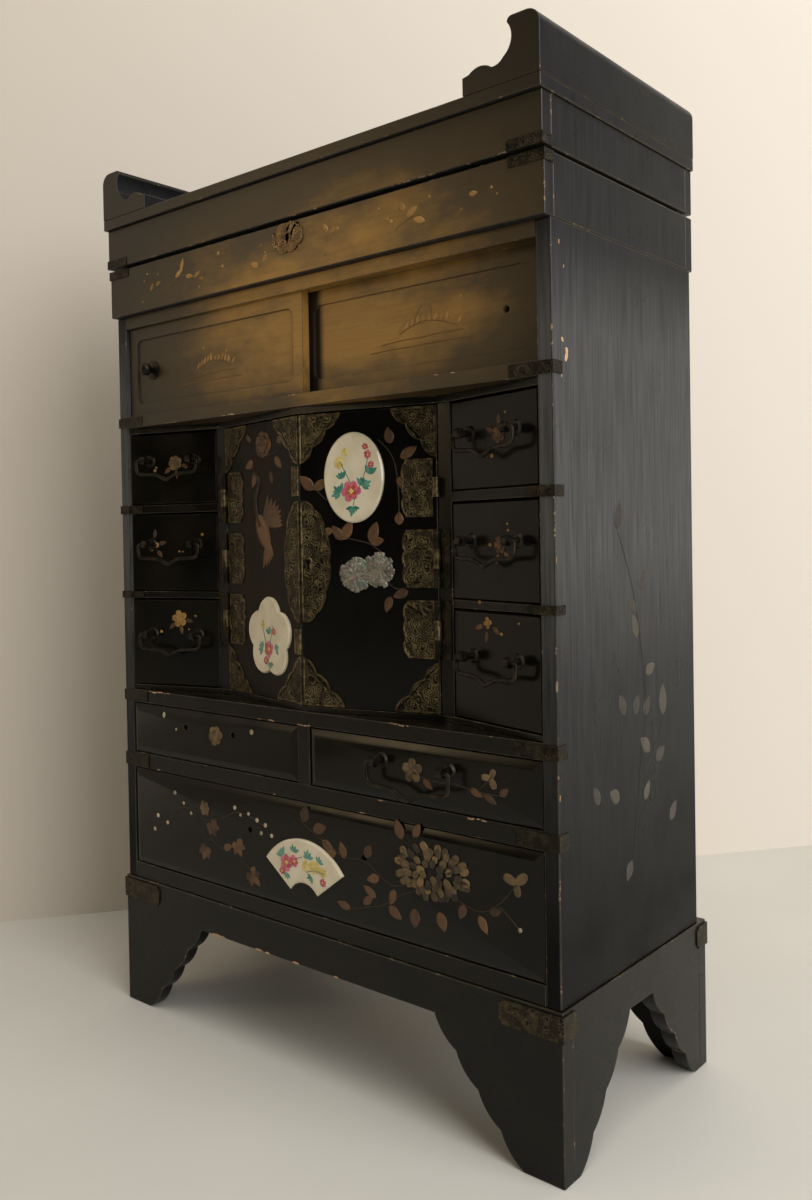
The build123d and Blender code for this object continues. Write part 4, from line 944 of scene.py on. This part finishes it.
small = {    # height, lean of the sprig, its place along the front, petals, their length, finish
    "drawer_left_top": (401.5, 26, 41, 7, 5.4, hornFlower),
    "drawer_left_middle": (342, 120, 20, 3, 4.6, goldPowder),
    "drawer_left_bottom": (288, 30, 42, 5, 6.0, goldPowder),
    "drawer_right_top": (401.5, 200, 44, 6, 5.2, copperLeaf),
    "drawer_right_middle": (340, 60, 44, 6, 4.8, copperLeaf),
    "drawer_right_bottom": (296, 10, 32, 4, 3.2, goldPowder)}
for name, (height, lean, along, petals, long, enamel) in small.items():
    where = "drawersLeft" if "left" in name else "drawersRight"
    stamped(name + "Sprig", name, "petal", enamel,
            rosette(where, along, height, petals, long, long * 0.8, 0.6, lean)
            + rosette(where, along, height, 4, long * 0.5, long * 0.45, 0.7, lean + 30, 0.25))
    stamped(name + "Leaves", name, "leaf", copperLeaf,
            [(where, along + 5 * cos(radians(a)), height + 5 * sin(radians(a)), a, 6.5, 3, 0.4,
              chance.uniform(0.2, 0.8)) for a in (lean + 190, lean + 250, lean + 320)])
    stamped(name + "Flecks", name, "nail", goldPowder,
        [(where, chance.uniform(18, 62), height + chance.uniform(-12, 12), 0, size, size * 0.8,
        0.3, chance.random()) for size in (2.2, 1.4, 1.8)], 0.3)
print("drawers dressed")


stamped("tillSprigs", "case", "leaf", goldPowder,
    [("till", s, z, turn, long, wide, 0.35, chance.uniform(0.3, 1.0)) for s, z, turn, long,
    wide in ((-112, 529, 30, 9, 3), (-106, 533, 70, 8, 3), (-101, 528, 350, 8, 3),
    (-92, 526, 20, 7, 3), (-28, 522, 160, 7, 4), (-24, 524, 40, 7, 4), (34, 532, 120, 6, 3),
    (36, 530, 40, 6, 3), (96, 528, 30, 9, 4), (101, 526, 340, 9, 4), (94, 531, 110, 7, 4),
    (140, 531, 0, 6, 3), (-140, 524, 60, 6, 2.5), (-134, 527, 20, 6, 2.5))])
stamped("tillDots", "case", "nail", goldPowder,
    [("till", chance.uniform(-165, 165), chance.uniform(517, 539), 0, d, d, 0.3,
    chance.random()) for d in [chance.uniform(1.0, 2.6) for _ in range(26)]])
stems("tillStems", "case", goldPowder, [
    ("till", [(-122, 522), (-112, 528), (-103, 530), (-90, 525)]),
    ("till", [(88, 522), (96, 528), (106, 527)])], 0.3)


def shore(name, body, where, left, low, width):
    stems(name + "Lines", body, goldPowder, [
        (where, [(left + width * a, low + b) for a, b in path]) for path in (
            ((0, 0), (0.2, 1), (0.45, 0.5), (0.7, 1.5), (1, 1)),
            ((0.12, 4), (0.3, 5.5), (0.5, 5), (0.72, 6.5), (0.9, 6)),
            ((0.3, 9), (0.42, 13), (0.55, 15), (0.7, 13), (0.84, 9)),
            ((0.45, 15), (0.47, 20), (0.52, 24)), ((0.6, 14), (0.62, 19), (0.6, 23)))], 0.3)
    marks = []
    for index in range(11):
        along = left + width * (0.3 + 0.055 * index)
        marks.append((where, along, low + 10 + 4 * sin(pi * index / 10), 70 + 8 * (index % 5 - 2),
                      5.0, 1.8, 0.35, chance.uniform(0.4, 1.0)))
    stamped(name + "Reeds", body, "leaf", goldPowder, marks, 0.2)


shore("slideRightShore", "slide_right", "slideRight", 52, 457, 78)
shore("slideLeftShore", "slide_left", "slideLeft", -122, 455, 66)
stamped("slideLeftDots", "slide_left", "nail", goldPowder,
    [("slideLeft", s, z, 0, 1.6, 1.6, 0.3, 0.7) for s, z in ((-96, 479), (-72, 474), (-66, 481))])
stamped("slideRightDots", "slide_right", "nail", goldPowder,
    [("slideRight", s, z, 0, 1.8, 1.8, 0.3, 0.7) for s, z in ((38, 478), (60, 484), (120, 482))])
print("upper front dressed")


ghosts = [(67, 347, 80, 17, 9), (94, 312, 60, 13, 8), (90, 300, 150, 12, 7), (90, 284, 110, 14, 8),
    (74, 241, 120, 13, 8), (86, 239, 70, 13, 8), (98, 237, 60, 13, 8), (122, 234, 90, 18, 9),
    (104, 215, 140, 14, 8), (112, 208, 30, 13, 8), (66, 193, 150, 13, 8), (97, 187, 60, 13, 7),
    (130, 168, 50, 14, 8), (43, 195, 120, 12, 7), (80, 155, 240, 13, 8), (100, 262, 20, 12, 7)]
stamped("sideVineLeaves", "case", "leaf", ghostInlay,
        [("sideRight", s, z, turn, long, wide, 0.25, chance.uniform(0.1, 0.9))
         for s, z, turn, long, wide in ghosts])
stems("sideVineStems", "case", ghostInlay, [
    ("sideRight", [(80, 150), (88, 180), (92, 210), (100, 236), (98, 262), (92, 290), (84, 318),
                   (68, 346)]),
    ("sideRight", [(92, 200), (110, 212), (124, 234)])], 0.3)
stamped("sideChips", "case", "petal", bareGround,
    [("sideRight", 13, 437, 70, 4.6, 2.6, 0.2, 0.9),
    ("sideRight", 15, 441, 110, 3.4, 2.4, 0.2, 1.0),
    ("sideRight", 11, 447, 130, 2.6, 1.8, 0.2, 0.8), ("sideRight", 9, 428, 95, 3, 1.2, 0.2, 0.4),
    ("sideRight", 8, 498, 95, 2.2, 1.0, 0.2, 0.3), ("sideRight", 12, 486, 70, 2, 1.0, 0.2, 0.3),
    ("sideRight", 1, 330, 90, 4, 0.8, 0.2, 0.1), ("sideRight", 1.2, 205, 85, 3, 0.9, 0.2, 0.2)],
    0.1)
knocked = []
for height in (177.6, 187.4, 226.0, 234.4, 429.6, 436.9):          # along the rails' edges
    for _ in range(3):
        start = chance.uniform(-160, 150)
        for step in range(chance.choice((1, 1, 2, 4))):              # chips come in little runs
            knocked.append(("front", start + 3.2 * step, height + chance.uniform(-0.2, 0.2),
                            chance.uniform(-8, 8), chance.uniform(1.2, 4.5),
                            chance.uniform(0.4, 0.9), 0.12, chance.uniform(0.1, 1.0)))
stamped("railChips", "case", "leaf", bareGround, knocked, 0.2)
stamped("apronChips", "case", "leaf", bareGround,
        [("plinthFront", s, 71.0, turn, long, 1.3, 0.15, 0.5) for s, turn, long in (
            (-92, 2, 9), (-78, 178, 4), (-48, 2, 7), (-38, 0, 4), (-6, 178, 6), (24, 1, 5))], 0.2)
print("side dressed")

for stamp in stamps.values():
    bpy.data.objects.remove(stamp)


# The photograph's own place: half-way up, in front of the right corner, turned a degree.
photo = {"place": (481.39, -566.2, 346.83), "turn": (88.951, 0.995, 41.011), "focal": 1069.06,
         "longSide": 1200, "shift": (0.0287, -0.0380)}
camData = bpy.data.cameras.new("photoCamera")
camera = bpy.data.objects.new("photoCamera", camData)
bpy.context.collection.objects.link(camera)
bpy.context.scene.camera = camera
camData.sensor_width = 36
camData.lens = photo["focal"] * camData.sensor_width / photo["longSide"]
camData.shift_x, camData.shift_y = photo["shift"]
camData.clip_start = 0.01
camera.location = Vector(photo["place"]) * mm
camera.rotation_euler = [radians(angle) for angle in photo["turn"]]

stage = {"wallFrom": (-414, -62.5), "wallTo": (78, 621.5), "reach": 6000, "wallHeight": 3000,
         "floor": "#cdccc4", "wallDim": "#c6bcad", "wallBright": "#ebe4d8"}


def flatPiece(name, corners, material):
    mesh = bpy.data.meshes.new(name)
    mesh.from_pydata([Vector(c) * mm for c in corners], [], [range(len(corners))])
    mesh.materials.append(material)
    piece = bpy.data.objects.new(name, mesh)
    bpy.context.collection.objects.link(piece)


def wallWithPaintedLight():
    material, tree, shader, place = newMaterial("wallPaintedLight")
    split = addNode(tree, "ShaderNodeSeparateXYZ", {"Vector": place})
    along = addNode(tree, "ShaderNodeMapRange", {"Value": split.outputs["Y"], "From Min": -0.2,
                                                 "From Max": 1.1}).outputs[0]
    plaster = addNode(tree, "ShaderNodeTexNoise", {"Vector": place, "Scale": 300.0, "Detail": 4.0})
    # painted light: the wall is painted dim to the left and bright to the right, where the window
    # lights it
    tree.links.new(addNode(tree, "ShaderNodeValToRGB", {"Fac": along},
        [(0.0, stage["wallDim"]), (1.0, stage["wallBright"])]).outputs[0],
        shader.inputs["Base Color"])
    shader.inputs["Roughness"].default_value = 0.9
    tree.links.new(addNode(tree, "ShaderNodeBump",
        {"Height": plaster.outputs["Fac"], "Distance": 0.2 * mm, "Strength": 0.3}).outputs[0],
        shader.inputs["Normal"])
    clear = addNode(tree, "ShaderNodeBsdfTransparent")
    back = addNode(tree, "ShaderNodeNewGeometry").outputs["Backfacing"]
    seen = addNode(tree, "ShaderNodeMixShader",
        {0: back, 1: shader.outputs[0], 2: clear.outputs[0]})
    tree.links.new(seen.outputs[0], tree.nodes["Material Output"].inputs["Surface"])
    return material


def paintedTable():
    material, tree, shader, place = newMaterial("tablePaint")
    marks = addNode(tree, "ShaderNodeTexNoise", {"Vector": place, "Scale": 3.0, "Detail": 5.0})
    tree.links.new(addNode(tree, "ShaderNodeValToRGB", {"Fac": marks.outputs["Fac"]},
        [(0.3, stage["floor"]), (0.7, "#d5d4cb")]).outputs[0], shader.inputs["Base Color"])
    shader.inputs["Roughness"].default_value = 0.55
    return material


reach, high = stage["reach"], stage["wallHeight"]
flatPiece("tableTop", [(-reach, -reach, 0), (reach, -reach, 0), (reach, reach, 0),
                       (-reach, reach, 0)], paintedTable())
start, end = Vector(stage["wallFrom"]), Vector(stage["wallTo"])
run = (end - start).normalized()
left, right = start - run * reach / 2, end + run * reach / 2
flatPiece("wall", [(*left, 0), (*right, 0), (*right, high), (*left, high)], wallWithPaintedLight())

lamps = {
    "windowRight": {"at": (2300, -300, 1300), "size": 2300, "power": 60, "colour": "#fdfcff"},
    "warmFront": {"at": (-1800, -1850, 1050), "size": 900, "power": 12, "colour": "#ffe0b0"},
    "topSoft": {"at": (700, -400, 2400), "size": 1500, "power": 22, "colour": "#fffaf4"},
}
for name, lamp in lamps.items():
    light = bpy.data.lights.new(name, "AREA")
    light.size = lamp["size"] * mm
    light.energy = lamp["power"]
    light.color = linear(lamp["colour"])[:3]
    holder = bpy.data.objects.new(name, light)
    bpy.context.collection.objects.link(holder)
    holder.location = Vector(lamp["at"]) * mm
    aim = Vector((0, 0, 0.3)) - holder.location
    holder.rotation_euler = aim.to_track_quat("-Z", "Y").to_euler()

world = bpy.data.worlds.new("roomLight")
bpy.context.scene.world = world
world.use_nodes = True
ray = addNode(world.node_tree, "ShaderNodeLightPath")     # the room that the gloss shows is dark
room = addNode(world.node_tree, "ShaderNodeMix",
    {0: ray.outputs["Is Glossy Ray"], 6: "#cfc8ba", 7: "#4a463e"}, data_type="RGBA").outputs[2]
world.node_tree.links.new(room, world.node_tree.nodes["Background"].inputs["Color"])
world.node_tree.nodes["Background"].inputs["Strength"].default_value = 0.25
bpy.context.scene.view_settings.view_transform = "Standard"
print("camera, stage and light set")
